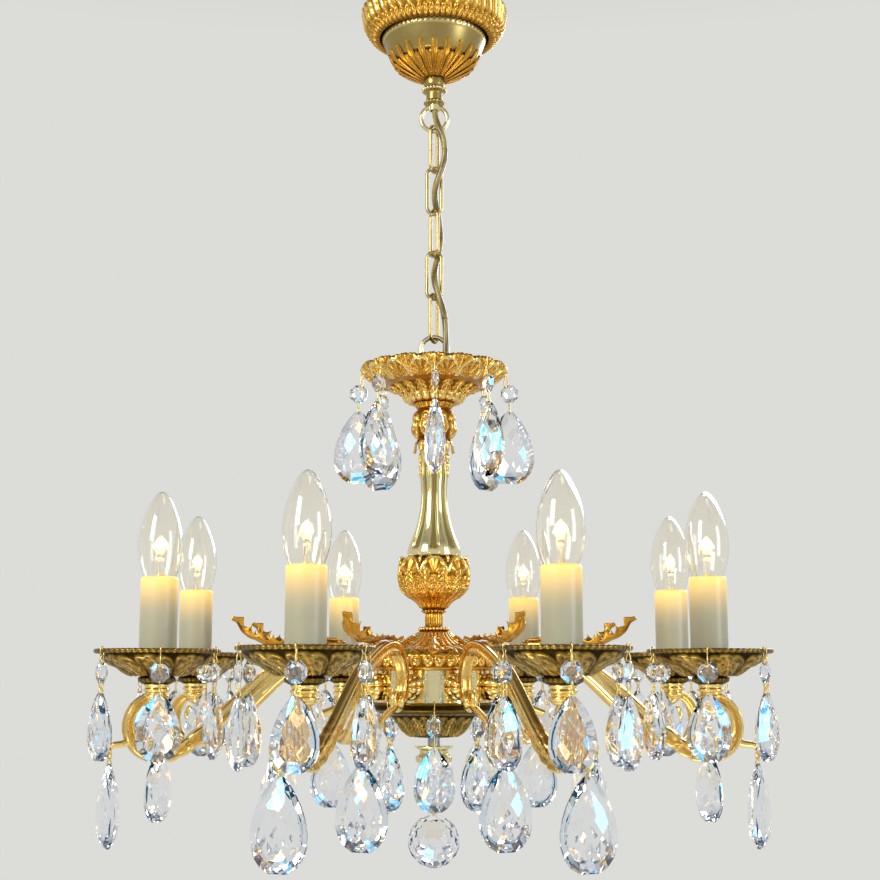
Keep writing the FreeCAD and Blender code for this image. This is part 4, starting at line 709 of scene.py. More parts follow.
def through(tree_and_names, base, **inputs):
    """Runs an object through a node tree and returns the result as a plain mesh."""
    tree, names = tree_and_names
    modifier = base.modifiers.new("tree", "NODES")
    modifier.node_group = tree
    for label, value in inputs.items():
        modifier[names[label.replace("_", " ")]] = value
    return plain_mesh(base)


def hidden_master(name, shell, smooth=True):
    """A master piece that the trees copy; it is removed once all copies are made."""
    master = as_object(name, shell, (GOLD,), smooth)
    masters.append(master)
    return master


masters = []


def copied(name, master, places, material):
    """Copies of a master at each place, as one plain mesh."""
    mesh = bpy.data.meshes.new(name)
    mesh.from_pydata([place.to_translation() for place in places], [], [])
    turns = [value for place in places for value in place.to_euler()]
    mesh.attributes.new("turn", "FLOAT_VECTOR", "POINT").data.foreach_set("vector", turns)
    points = bpy.data.objects.new(name, mesh)
    bpy.context.scene.collection.objects.link(points)
    return through(COPIES, points, Piece=master, Material=material)


def ringed(name, master, count, radius, height, material, lean=0.0, offset=0.0):
    """An even ring of copies of a master, as one plain mesh."""
    base = bpy.data.objects.new(name, bpy.data.meshes.new(name))
    bpy.context.scene.collection.objects.link(base)
    return through(RING, base, Piece=master, Material=material, Count=count, Radius=radius, Height=height,
                   Lean=lean, Offset=offset)


def wired(name, loops, radius, sides, material):
    """Round wire along one or more lines of points; each is (points, closed)."""
    curve = bpy.data.curves.new(name, "CURVE")
    curve.dimensions = "3D"
    for points, closed in loops:
        spline = curve.splines.new("POLY")
        spline.points.add(len(points) - 1)
        spline.points.foreach_set("co", [value for point in points for value in (*point, 1.0)])
        spline.use_cyclic_u = closed
    base = bpy.data.objects.new(name, curve)
    bpy.context.scene.collection.objects.link(base)
    return through(ROUND_WIRE, base, Wire_Radius=radius, Sides=sides, Material=material)


# ---------------------------------------------------------------- camera, lamps and stage

# The eight candle lamps in the photograph fix the camera: 1.216 m from the axis, a little below the
# candles, pitched up 9.3 degrees, with a long lens.
CAMERA_DISTANCE = 1.216
CAMERA_HEIGHT = -0.594
CAMERA_PITCH = math.radians(9.3)
CAMERA_YAW = math.radians(0.24)
CAMERA_LENS = 59.3
ROOM_HEIGHT = 2.6
PALE = "#DCDCD9"


def camera():
    """The camera at the photograph's place."""
    data = bpy.data.cameras.new("camera")
    data.lens = CAMERA_LENS
    data.sensor_width = 36.0
    data.clip_start = 0.05
    eye = bpy.data.objects.new("camera", data)
    eye.location = (0, -CAMERA_DISTANCE, CAMERA_HEIGHT)
    eye.rotation_euler = (math.pi / 2 + CAMERA_PITCH, 0, -CAMERA_YAW)
    bpy.context.scene.collection.objects.link(eye)
    bpy.context.scene.camera = eye


def area_lamp(name, place, width, height, power, colour):
    """A soft box that faces the middle of the chandelier."""
    data = bpy.data.lights.new(name, "AREA")
    data.shape = "RECTANGLE"
    data.size, data.size_y = width, height
    data.energy = power
    data.color = linear(colour)[:3]
    lamp = bpy.data.objects.new(name, data)
    lamp.location = place
    lamp.rotation_euler = (Vector((0, 0, -0.5)) - Vector(place)).to_track_quat("-Z", "Y").to_euler()
    bpy.context.scene.collection.objects.link(lamp)


def candle_lights():
    """A small warm light in every candle lamp."""
    for number in range(1, LIGHTS + 1):
        data = bpy.data.lights.new("candle_light_%d" % number, "POINT")
        data.energy = 0.35
        data.shadow_soft_size = 4 * MM
        data.color = linear("#FFC878")[:3]
        light = bpy.data.objects.new("candle_light_%d" % number, data)
        light.matrix_world = spot(LAMP_CIRCLE, foot("bulb_glasses") + 0.45 * tall("bulb_glasses"), arm_angle(number))
        bpy.context.scene.collection.objects.link(light)
        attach(light, "chandelier")


def studio():
    """A pale room: soft boxes, an even world, and a floor 2.6 m under the ceiling."""
    area_lamp("key_box", (-1.5, -1.7, 0.5), 0.9, 1.2, 30.0, "#FFFFFF")
    area_lamp("fill_box", (1.9, -1.2, -0.2), 0.7, 1.3, 16.0, "#EEF3FF")
    area_lamp("back_box", (0.9, 1.8, 0.3), 1.0, 0.8, 18.0, "#E4ECFF")
    area_lamp("low_box", (-0.6, -0.9, -1.9), 0.9, 0.6, 8.0, "#FFF2DC")

    world = bpy.data.worlds.new("pale_room")
    bpy.context.scene.world = world
    world.use_nodes = True
    tree = world.node_tree
    tree.nodes.clear()
    up = node(tree, "ShaderNodeSeparateXYZ", {
        "Vector": node(tree, "ShaderNodeTexCoord").outputs["Generated"]}).outputs["Z"]
    shade = mixed(tree, scaled(tree, up, 0.0, 1.0, 0.42, 0.95), linear(PALE), linear("#5D6064"))
    seen = node(tree, "ShaderNodeBackground", {"Color": shade, "Strength": 1.0}).outputs[0]
    lit = node(tree, "ShaderNodeBackground", {"Color": linear("#EDEFF2"), "Strength": 0.42}).outputs[0]
    rays = node(tree, "ShaderNodeLightPath").outputs
    some = node(tree, "ShaderNodeMath", {0: rays["Is Camera Ray"], 1: rays["Is Glossy Ray"]}, operation="MAXIMUM")
    every = node(tree, "ShaderNodeMath", {0: some.outputs[0], 1: rays["Is Transmission Ray"]}, operation="MAXIMUM")
    surface = node(tree, "ShaderNodeMixShader", {0: every.outputs[0], 1: lit, 2: seen}).outputs[0]
    node(tree, "ShaderNodeOutputWorld", {"Surface": surface})

    material, tree = new_material("pale_floor_paint")
    colour = mixed(tree, noise(tree, 0.8), linear("#D3D3CF"), linear("#DADAD6"))
    rays = node(tree, "ShaderNodeLightPath").outputs
    some = node(tree, "ShaderNodeMath", {0: rays["Is Camera Ray"], 1: rays["Is Glossy Ray"]}, operation="MAXIMUM")
    every = node(tree, "ShaderNodeMath", {0: some.outputs[0], 1: rays["Is Transmission Ray"]}, operation="MAXIMUM")
    shader = node(tree, "ShaderNodeBsdfPrincipled", {
        "Base Color": colour, "Roughness": 0.8, "Emission Color": colour,
        "Emission Strength": scaled(tree, every.outputs[0], 0.0, 0.62)})
    node(tree, "ShaderNodeOutputMaterial", {"Surface": shader.outputs[0]})
    bpy.ops.mesh.primitive_circle_add(vertices=64, radius=8.0, fill_type="NGON", location=(0, 0, -ROOM_HEIGHT))
    floor = bpy.context.object
    floor.name = "floor"
    floor.data.materials.append(material)


# ---------------------------------------------------------------- the cord through the chain

# The cord's route, as chosen for the chain: out of the loop's collar, past the first link on the right,
# through the second link, behind the third, through the fourth, past the fifth, into the crown dish.
CORD_ROUTE = (
    (0, 0, -84), (0, 0, -103), (2.8, -5.6, -115), (8.2, -7.6, -129), (9.8, -7.2, -145), (5.6, -7.0, -159),
    (0.6, -3.4, -171), (0.4, 2.6, -183), (4.0, 7.0, -196), (5.6, 7.8, -212), (4.2, 6.2, -229),
    (0.4, 1.6, -244), (-0.2, -4.2, -257), (4.2, -7.2, -271), (9.2, -7.0, -288), (10.2, -7.2, -308),
    (9.8, -7.6, -328), (10.0, -7.4, -345), (10.0, -7.2, -356),
)
CORD_RADIUS = 2.75 * MM
CORD_SIDES = 20
CORD_TWIST = TAU / (70 * MM)    # one turn of the two cores in 70 mm


def cord_shell(line, first_length):
    """The cord's round skin over two cores, and its length so far; its relief says where a core lies under it."""
    slope = np.gradient(line, axis=0)
    slope /= np.linalg.norm(slope, axis=1)[:, None]
    side = np.cross(slope, (0, 1, 0))
    side /= np.linalg.norm(side, axis=1)[:, None]
    front = np.cross(slope, side)
    around = np.arange(CORD_SIDES) * TAU / CORD_SIDES
    lengths = first_length + np.concatenate([[0], np.cumsum(np.linalg.norm(np.diff(line, axis=0), axis=1))])
    core = np.cos(around[None, :] - CORD_TWIST * lengths[:, None]) ** 2
    radius = CORD_RADIUS * (0.9 + 0.1 * core)
    ring = side[:, None] * np.cos(around)[None, :, None] + front[:, None] * np.sin(around)[None, :, None]
    return skin(line[:, None] + ring * radius[:, :, None], core), lengths[-1]


def supply_cord():
    """The cord in one stretch for each chain joint."""
    line = smooth_route("cord_line", CORD_ROUTE, 1.2 * MM)
    joints = [joint for joint in frame["joints"] if joint["name"].startswith("chain_swing")]
    heights = [joint["pos_m"][2] for joint in joints]
    cuts = [line[0][2] + MM]
    cuts += [(above + below) / 2 for above, below in zip(heights, heights[1:])]
    cuts.append(line[-1][2] - MM)
    length = 0.0
    for number, (joint, start, end) in enumerate(zip(joints, cuts, cuts[1:]), start=1):
        inside = np.flatnonzero((line[:, 2] <= start) & (line[:, 2] >= end))
        stretch = line[inside[0]:min(inside[-1] + 2, len(line))]
        shell, length = cord_shell(stretch, length)
        piece = as_object("supply_cord_%d" % number, shell, (CORD,))
        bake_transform(piece)
        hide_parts("supply_cord")


def chain():
    """Five long links of round wire."""
    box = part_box("chain_link_1")
    wire = 1.6 * MM
    long = box[1].z - box[0].z - 2 * wire
    bend = 6.2 * MM
    for number in range(1, 6):
        name = "chain_link_%d" % number
        joint = next(joint for joint in frame["joints"] if joint["name"] == "chain_swing_%d" % (number + 1))
        along = math.atan2(joint["axis"][1], joint["axis"][0])
        points = []
        for index in range(72):
            angle = TAU * index / 72
            shift = (long / 2 - bend) * (1 if math.sin(angle) >= 0 else -1)
            points.append((bend * math.cos(angle), 0, bend * math.sin(angle) + shift))
        place = Matrix.Translation(middle(name)) @ Matrix.Rotation(along, 4, "Z")
        loop = [place @ Vector(point) for point in points]
        fitted(wired(name + "_wire", [(loop, True)], wire, 20, CHAIN), name.replace("chain_", ""),
               "chain_brass", name)


# ---------------------------------------------------------------- cut crystals

def cut_stone(corners, depth, planes):
    """A convex stone: a slab of the outline in the YZ plane, cut by planes (point, outward normal)."""
    stone = bmesh.new()
    rings = [[stone.verts.new((side * depth, across, up)) for across, up in corners] for side in (-1, 1)]
    stone.faces.new(rings[0][::-1])
    stone.faces.new(rings[1])
    for index in range(len(corners)):
        after = (index + 1) % len(corners)
        stone.faces.new((rings[0][index], rings[0][after], rings[1][after], rings[1][index]))
    bmesh.ops.recalc_face_normals(stone, faces=stone.faces)
    for point, normal in planes:
        whole = stone.verts[:] + stone.edges[:] + stone.faces[:]
        cut = bmesh.ops.bisect_plane(stone, geom=whole, plane_co=point, plane_no=normal, clear_outer=True)
        edges = [item for item in cut["geom_cut"] if isinstance(item, bmesh.types.BMEdge)]
        if len(edges) > 2:
            bmesh.ops.contextual_create(stone, geom=edges)
    bmesh.ops.remove_doubles(stone, verts=stone.verts, dist=0.01 * MM)
    bmesh.ops.recalc_face_normals(stone, faces=stone.faces)
    bmesh.ops.triangulate(stone, faces=stone.faces)
    stone.verts.index_update()
    points = [vertex.co[:] for vertex in stone.verts]
    triangles = [[vertex.index for vertex in face.verts] for face in stone.faces]
    stone.free()
    return Shell(points, (), triangles)


def almond(high, wide, thick):
    """A large or small drop: lozenge facets over both faces and bevels round the edge; z = 0 is its hole."""
    widest = 0.64    # share of the height, from the tip down
    right = []
    for down in (0.0, 0.08, 0.18, 0.30, 0.43, 0.57, 0.70, 0.82, 0.92, 0.98):
        if down < widest:
            width = 0.06 + 0.44 * math.sin(math.pi / 2 * (down / widest) ** 0.85)
        else:
            width = 0.5 * math.sqrt(1 - ((down - widest) / (1 - widest)) ** 2)
        right.append((wide * width, high * (0.58 - down)))
    corners = right + [(-across, up) for across, up in reversed(right)]
    deep = (thick / 2 - 0.6 * MM) / (0.58 * high) ** 2
    curve = deep * (high / wide) ** 2
    lozenge_wide, lozenge_high = wide / 3.4, high / 3.4
    planes = []
    for side in (-1, 1):
        for row in range(-6, 7):
            for column in range(-4, 5):
                across, up = column * lozenge_wide / 2, row * lozenge_high / 2
                if (row + column) % 2 or (across / wide) ** 2 + (up / high) ** 2 > 0.30:
                    continue
                bulge = thick / 2 - curve * across ** 2 - deep * up ** 2
                planes.append(((side * bulge, across, up), (side, 2 * curve * across, 2 * deep * up)))
        for (across, up), (after, lower) in zip(corners, corners[1:] + corners[:1]):
            edge = Vector((0, lower - up, across - after)).normalized()
            if edge.dot(Vector((0, across, up))) < 0:
                edge.negate()
            planes.append(((side * 1.1 * MM, (across + after) / 2, (up + lower) / 2), (side * 1.6, *edge[1:])))
    hole = 0.58 * high - HOLE_INSET
    stone = cut_stone(corners, thick / 2, planes)
    return stone.moved(Matrix.Translation((0, 0, -hole)))


def bead(wide, high, thick):
    """An octagon bead with a table, sixteen bevels and a thin girdle; z = 0 is its middle."""
    corners = []
    for corner in range(8):
        angle = TAU / 8 * (corner + 0.5)
        corners.append((wide / 2 * math.cos(angle) * 1.08, high / 2 * math.sin(angle) * 1.08))
    planes = []
    for side in (-1, 1):
        for facet in range(8):
            angle = TAU / 8 * facet
            across, up = math.cos(angle), math.sin(angle)
            planes.append(((side * 0.55 * MM, wide / 2 * across, high / 2 * up), (side * 1.5, across, up)))
            angle += TAU / 16
            across, up = math.cos(angle), math.sin(angle)
            planes.append(((side * thick * 0.44, wide * 0.27 * across, high * 0.27 * up),
                           (side * 3.0, across, up)))
    return cut_stone(corners, thick / 2, planes)


def faceted_ball(radius):
    """A ball cut all over in staggered facets; z = 0 is its middle."""
    planes = []
    for row, latitude in enumerate((-68, -45, -22, 0, 22, 45, 68)):
        count = 14 if abs(latitude) < 60 else 7
        for facet in range(count):
            angle = TAU / count * (facet + 0.5 * (row % 2))
            rise = math.radians(latitude)
            outward = Vector((math.cos(angle) * math.cos(rise), math.sin(angle) * math.cos(rise), math.sin(rise)))
            planes.append((outward * radius * 0.985, outward))
    for side in (-1, 1):
        planes.append(((0, 0, side * radius * 0.985), (0, 0, side)))
    square = [(-radius, -radius), (radius, -radius), (radius, radius), (-radius, radius)]
    return cut_stone(square, radius, planes)


LARGE = (63 * MM, 42 * MM, 16 * MM)
SMALL = (50 * MM, 33 * MM, 14 * MM)
OCTAGON = (15 * MM, 15 * MM, 6 * MM)
LONG_OCTAGON = (12 * MM, 18 * MM, 6 * MM)
HOLE_INSET = 2.2 * MM
PIN_WIRE = 0.5 * MM
PIN_HALF_WIDTH = 2.5 * MM
HOOK_RISE = 1.64 * MM
DROP_GAP = 8 * MM
HOOK_INSET = 3 * MM      # a hook's hole, inside the rim
INNER_DROP_CIRCLE = 138 * MM


def pin_line(span, side_step=0.0):
    """A wire loop pinched in the middle into two eyes, from z = 0 down to -span."""
    points = []
    for index in range(40):
        angle = TAU * index / 40
        pinch = 0.22 + 0.78 * abs(math.cos(angle)) ** 0.7
        width = PIN_HALF_WIDTH * pinch * math.sin(angle)
        points.append(Vector((width, side_step, -span / 2 + span / 2 * math.cos(angle))))
    return points


class Hangings:
    """Everything that hangs: the places of the crystals and the lines of the pins."""

    def __init__(self):
        self.places = {}
        self.wires = []

    def crystal(self, kind, place):
        self.places.setdefault(kind, []).append(place)

    def pin(self, place, high, low):
        """A pin whose end wires are at two heights of the place."""
        self.wires.append(([place @ Matrix.Translation((0, 0, high)) @ point for point in pin_line(high - low)],
                           True))

    def pendant(self, place, bead_drop, bead_kind, bead_high, drop_kind, turned_edge=False):
        """Hook, bead, pin and drop under a rim at the place's height."""
        bead_middle = -bead_drop - bead_high / 2
        upper = bead_middle + bead_high / 2 - HOLE_INSET
        lower = bead_middle - bead_high / 2 + HOLE_INSET
        drop = bead_middle - bead_high / 2 - DROP_GAP - HOLE_INSET
        quarter = Matrix.Rotation(math.pi / 2 if turned_edge else 0, 4, "Z")
        hang = place @ Matrix.Translation(((2 if turned_edge else 1) * HOOK_INSET, 0, 0)) @ quarter
        self.pin(place @ Matrix.Translation((HOOK_INSET, 0, 0)), HOOK_RISE, upper)
        self.pin(hang, lower, drop)
        self.crystal(bead_kind, hang @ Matrix.Translation((0, 0, bead_middle)))
        self.crystal(drop_kind, hang @ Matrix.Translation((0, 0, drop)))


def natural_turn(index):
    """A hanging crystal's own small turn about its hook."""
    return math.radians(13) * math.sin(2.4 * index + 0.7)


def dish_turn(number):
    """How far a drip dish is turned on its seat, mirrored left and right."""
    return math.radians(21 if math.cos(arm_angle(number)) < 0 else -21)


STONES = {
    "large": hidden_master("large_drop_master", almond(*LARGE), False),
    "small": hidden_master("small_drop_master", almond(*SMALL), False),
    "octagon": hidden_master("octagon_master", bead(*OCTAGON), False),
    "long": hidden_master("long_octagon_master", bead(*LONG_OCTAGON), False),
}


def hung(name, hangings, body, *nodes):
    """The crystals of some hangings, one piece for each kind of stone."""
    for kind, places in hangings.places.items():
        fitted(copied("%s_%s" % (name, kind), STONES[kind], places, CRYSTAL), body, "crystal", *nodes)


def crystals():
    """Every crystal at the end of its pins."""
    dishes = Hangings()
    for number in range(1, LIGHTS + 1):
        lamp = spot(LAMP_CIRCLE, DISH_RIM, arm_angle(number))
        for hook in range(HOOKS_PER_BOBECHE):
            loose = natural_turn(HOOKS_PER_BOBECHE * number + hook)
            if hook == HOOKS_PER_BOBECHE // 2:
                loose = math.radians(44 if dish_turn(number) > 0 else -44)
            hole = spot(DISH_RADIUS - HOOK_INSET, 0, dish_turn(number) + TAU / HOOKS_PER_BOBECHE * hook, loose)
            dishes.pendant(lamp @ hole, 10 * MM, "octagon", OCTAGON[1], "small")
    hung("bobeche_crystals", dishes, "chandelier", "bobeche_crystals")

    centre = Hangings()
    for number in range(LIGHTS):
        angle = TAU / LIGHTS * number
        crown = spot(reach("crown_dish") - HOOK_INSET, top("crown_dish"), angle, natural_turn(number))
        centre.pendant(crown, 14 * MM, "octagon", OCTAGON[1], "large", turned_edge=True)
        hub = spot(reach("hub_bowl") - HOOK_INSET, top("hub_bowl"), angle, natural_turn(number))
        centre.pendant(hub, 9 * MM, "long", LONG_OCTAGON[1], "small")
    eye = foot("hub_finial") + 1.9 * MM
    ball_joint = next(joint for joint in frame["joints"] if joint["name"] == "ball_swing")
    ball_wire = ball_joint["pos_m"][2]
    bead_middle = (eye + ball_wire) / 2
    half = LONG_OCTAGON[1] / 2 - HOLE_INSET
    quarter = Matrix.Rotation(math.pi / 2, 4, "Z")
    centre.pin(quarter, eye, bead_middle + half)
    centre.pin(quarter, bead_middle - half, ball_wire)
    centre.crystal("long", spot(0, bead_middle, math.pi / 2))
    hung("centre_crystals", centre, "chandelier", "centre_crystals")

    arms = Hangings()
    inner = Hangings()
    for number in range(1, LIGHTS + 1):
        joint = next(joint for joint in frame["joints"] if joint["name"] == "drop_swing_%d" % number)
        outer_radius = math.hypot(*joint["pos_m"][:2])
        hole = joint["pos_m"][2]
        eye = hole + DROP_GAP + HOLE_INSET
        for radius in (INNER_DROP_CIRCLE, outer_radius):
            arms.pin(spot(radius, 0, arm_angle(number)), eye, hole)
        inner.crystal("large", spot(INNER_DROP_CIRCLE, hole, arm_angle(number)))
        outer = Hangings()
        outer.crystal("large", spot(outer_radius, hole, arm_angle(number)))
        hung("outer_drop_%d" % number, outer, "drop_%d" % number, "outer_drop_%d" % number)
    hung("inner_drops", inner, "chandelier", "inner_drops")
    wires = dishes.wires + centre.wires + arms.wires
    fitted(wired("crystal_pin_wires", wires, PIN_WIRE, 7, WIRE), "chandelier", "pin_wire", "crystal_pins")


def bottom_ball():
    """The faceted ball and its brass eye."""
    radius = reach("bottom_ball")
    ball = faceted_ball(radius).moved(Matrix.Translation((0, 0, foot("bottom_ball") + radius)))
    fitted(as_object("bottom_ball_cut", ball, (CRYSTAL,), False), "ball", "crystal", "bottom_ball")
    eye_radius, wire = 3 * MM, 0.75 * MM
    middle_height = top("bottom_ball") - eye_radius - wire
    loop = []
    for index in range(36):
        angle = TAU * index / 36
        loop.append((eye_radius * math.sin(angle), 0, middle_height + eye_radius * math.cos(angle)))
    shank = [(0, 0, middle_height - eye_radius), (0, 0, middle_height - eye_radius - 4 * MM)]
    fitted(wired("bottom_ball_eye", [(loop, True), (shank, False)], wire, 12, WIRE), "ball", "pin_wire",
           "bottom_ball")


# ---------------------------------------------------------------- turned and cast metalwork

FLAT_EDGE = 2.2    # millimetres


def spun(name, node, corners, finish, slot, relief=None, around=256, body="chandelier", **shape):
    """A turned piece in the place of its CAD node; its corners are in millimetres over the node's foot. An open
    outline begins and ends on the axis, and its two flat ends are closed by fans from just inside their edges."""
    closed = shape.get("closed", False)
    if not closed:
        ends = [(edge[0] - FLAT_EDGE, *axis[1:]) for axis, edge in (corners[:2], corners[:-3:-1])]
        corners = (ends[0], *corners[1:-1], ends[1])
    line = profile(foot(node), corners, shape.get("step", 0.7 * MM), closed=closed)
    shell = turned(line, relief, around, closed, shape.get("rise"))
    return fitted(as_object(name, shell, (finish,)), body, slot, node)


def leaf_ring(name, node, leaf, count, radius, height, finish=None, offset=0.0, body="chandelier", slot="gold"):
    """An even ring of one leaf, its foot at a radius and a height over the node's foot, in millimetres."""
    master = hidden_master(name + "_master", leaf)
    ring = ringed(name, master, count, radius * MM, foot(node) + height * MM, finish or GOLD, offset=offset)
    return fitted(ring, body, slot, node)


def spear(widest):
    """The half width of a long leaf with a pointed tip."""
    def half(share):
        return widest * np.clip(np.sin(math.pi * share ** 0.72) ** 0.75, 0, 1) + 0.25 * MM
    return half


def petal(widest):
    """The half width of a leaf that widens along its length to a blunt point."""
    def half(share):
        return widest * (0.25 + 0.75 * share) * np.clip((1.02 - share) / 0.22, 0.06, 1) ** 0.5
    return half


def beads_at(turn, height, *rows):
    """Rows of beads, each (count, height, bead's radius, row's radius) in metres."""
    return np.max([bead_row(turn, height, *row) for row in rows], axis=0)


def canopy():
    """Bowl, leaf ring, leaf cup and neck under the ceiling."""
    base = foot("canopy_bowl")

    def bowl_beads(turn, radius, height):
        return 0.4 * MM * ridge(height - base - 20 * MM, 0.8 * MM) + beads_at(
            turn, height, (64, base + 21.5 * MM, 0.9 * MM, 44 * MM))

    spun("canopy_bowl_spun", "canopy_bowl",
         ((5.1, 0), (34, 0), (36, 0.8, 0.04), (48, 30), (48, 56), (46.2, 56), (46.2, 30), (34.6, 1.8), (5.1, 1.8)),
         POLISHED, "polished_brass", bowl_beads, 256, "ceiling", closed=True, step=0.9 * MM)

    ring = foot("canopy_leaf_ring")
    ring_top = top("canopy_leaf_ring")

    def pressed_leaves(turn, radius, height):
        up = share_of(height, ring, ring_top)
        swept_turn = turn + 0.14 * up ** 2
        across = np.abs(repeats(swept_turn, 44))
        ribs = np.clip(1.15 - 1.5 * across, 0, 1) ** 0.6 + 0.35 * ridge(across - 0.9, 0.10)
        leaves = 2.9 * MM * ribs * band(height, ring + 6 * MM, ring_top - 3 * MM, 5 * MM)
        curls = 2.2 * MM * volutes_of(turn, share_of(height, ring - 1 * MM, ring + 8 * MM), 34)
        wire = 1.2 * MM * ridge(height - ring_top + 1.6 * MM, 1.3 * MM)
        return leaves + curls * (radius > 48.8 * MM) + wire

    spun("canopy_leaf_ring_cast", "canopy_leaf_ring",
         ((48.3, 0), (51, 0, 0.14), (61, 18, 0.2), (56, 33), (48.3, 33)), GOLD, "gold", pressed_leaves, 616,
         "ceiling", closed=True)

    cup = foot("canopy_leaf_cup")

    def cup_ribs(turn, radius, height):
        return 1.2 * MM * gadroons(turn, 40) * share_of(radius, 9 * MM, 14 * MM) * band(height, cup, cup + 15 * MM)

    spun("canopy_leaf_cup_cast", "canopy_leaf_cup", ((0, 0), (9, 0), (10, 0.4, 0.03), (32, 13), (32, 14), (0, 14)),
         GOLD, "gold", cup_ribs, 400, "ceiling")
    long_leaf = blade(((-21, -12.6), (-11, -7.5), (0, -1.2), (4.2, 3.4), (7.6, 10.6)), petal(3.7 * MM), 1.2 * MM,
                      lambda share: -1.3 * MM * share, 1.1 * MM, step=1.2 * MM, across=10)
    short_leaf = blade(((-20, -12.2), (-10, -7.2), (-1, -1.6), (2.6, 1.6)), petal(3.0 * MM), 1.1 * MM,
                       lambda share: -1.0 * MM * share, 0.9 * MM, step=1.2 * MM, across=10)
    leaf_ring("canopy_leaf_tips", "canopy_leaf_cup", long_leaf, 20, 32, 12.5, body="ceiling")
    leaf_ring("canopy_short_tips", "canopy_leaf_cup", short_leaf, 20, 32.4, 11.5, offset=TAU / 40, body="ceiling")

    neck = foot("canopy_neck")

    def neck_beads(turn, radius, height):
        return beads_at(turn, height, (22, neck + 12.6 * MM, 1.2 * MM, 9.6 * MM),
                        (18, neck + 0.9 * MM, 0.8 * MM, 8.9 * MM))

    spun("canopy_neck_turned", "canopy_neck",
         ((0, 0), (9, 0), (8.6, 1.6), (7, 2.8), (7, 9.9), (9.9, 11.75, 0.4), (7.65, 14.6), (9, 16.9), (9, 23.5),
          (0, 23.5)), POLISHED, "polished_brass", neck_beads, 192, "ceiling", step=0.4 * MM)


def crown():
    """The crown dish with its deep scroll border, and the gadrooned cup under it."""
    dish = foot("crown_dish")
    rim = top("crown_dish")

    def border(turn, radius, height):
        up = share_of(height, dish + 1.5 * MM, rim - 1.5 * MM)
        motifs = np.maximum(shells_of(turn, up, 16, 5), leaves_of(turn, up, 16, 4, 0.5))
        curls = volutes_of(turn, share_of(height, dish + 6 * MM, rim), 32, 1.3, 0.25)
        relief = 2.6 * MM * np.maximum(motifs, 0.75 * curls) * band(height, dish + 0.8 * MM, rim - 0.6 * MM, 1.2 * MM)
        rope = 1.1 * MM * (0.6 + 0.4 * np.cos(96 * turn)) * ridge(height - rim + 0.8 * MM, 0.9 * MM)
        return relief + rope + 0.9 * MM * ridge(height - dish - 0.4 * MM, 0.7 * MM)

    def scallops(turn, height):
        edge = np.clip((height - rim + 5 * MM) / (5 * MM), 0, 1)
        return 1.3 * MM * edge * (np.abs(np.cos(8 * turn)) + 0.45 * np.abs(np.cos(24 * turn + 0.6)))

    spun("crown_dish_cast", "crown_dish",
         ((0, 0), (37.6, 0), (38.4, 0.6, 0.12), (56.5, 9), (61.0, 12.6), (61.5, 15), (55.5, 15, -0.1), (36.4, 2.5),
          (0, 2.5)), GOLD, "gold", border, 768, rise=scallops)
    hole_line = profile(dish + 1.6 * MM, ((3.1, 0), (5.6, 0), (5.4, 1.6), (3.1, 1.8)), 0.5 * MM, 1, True)
    hole = turned(hole_line, None, 40, True).moved(Matrix.Translation((10 * MM, -7.2 * MM, 0)))
    fitted(as_object("crown_cord_grommet", hole, (POLISHED,)), "chandelier", "gold", "crown_dish")

    cup = foot("crown_cup")
    cup_top = top("crown_cup")

    def cup_leaves(turn, radius, height):
        lobes = 1.9 * MM * gadroons(turn, 22) * band(height, cup, cup + 7.5 * MM, 1.6 * MM)
        tongues = 2.2 * MM * leaves_of(turn, share_of(height, cup + 6 * MM, cup_top + 1 * MM), 18, 3)
        return np.maximum(lobes, tongues * band(height, cup + 5.5 * MM, cup_top, 0.8 * MM))

    spun("crown_cup_cast", "crown_cup", ((0, 0), (17, 0), (19, 0.7, 0.16), (26, 6.5, -0.05), (38.4, 15), (0, 15)),
         GOLD, "gold", cup_leaves, 528)


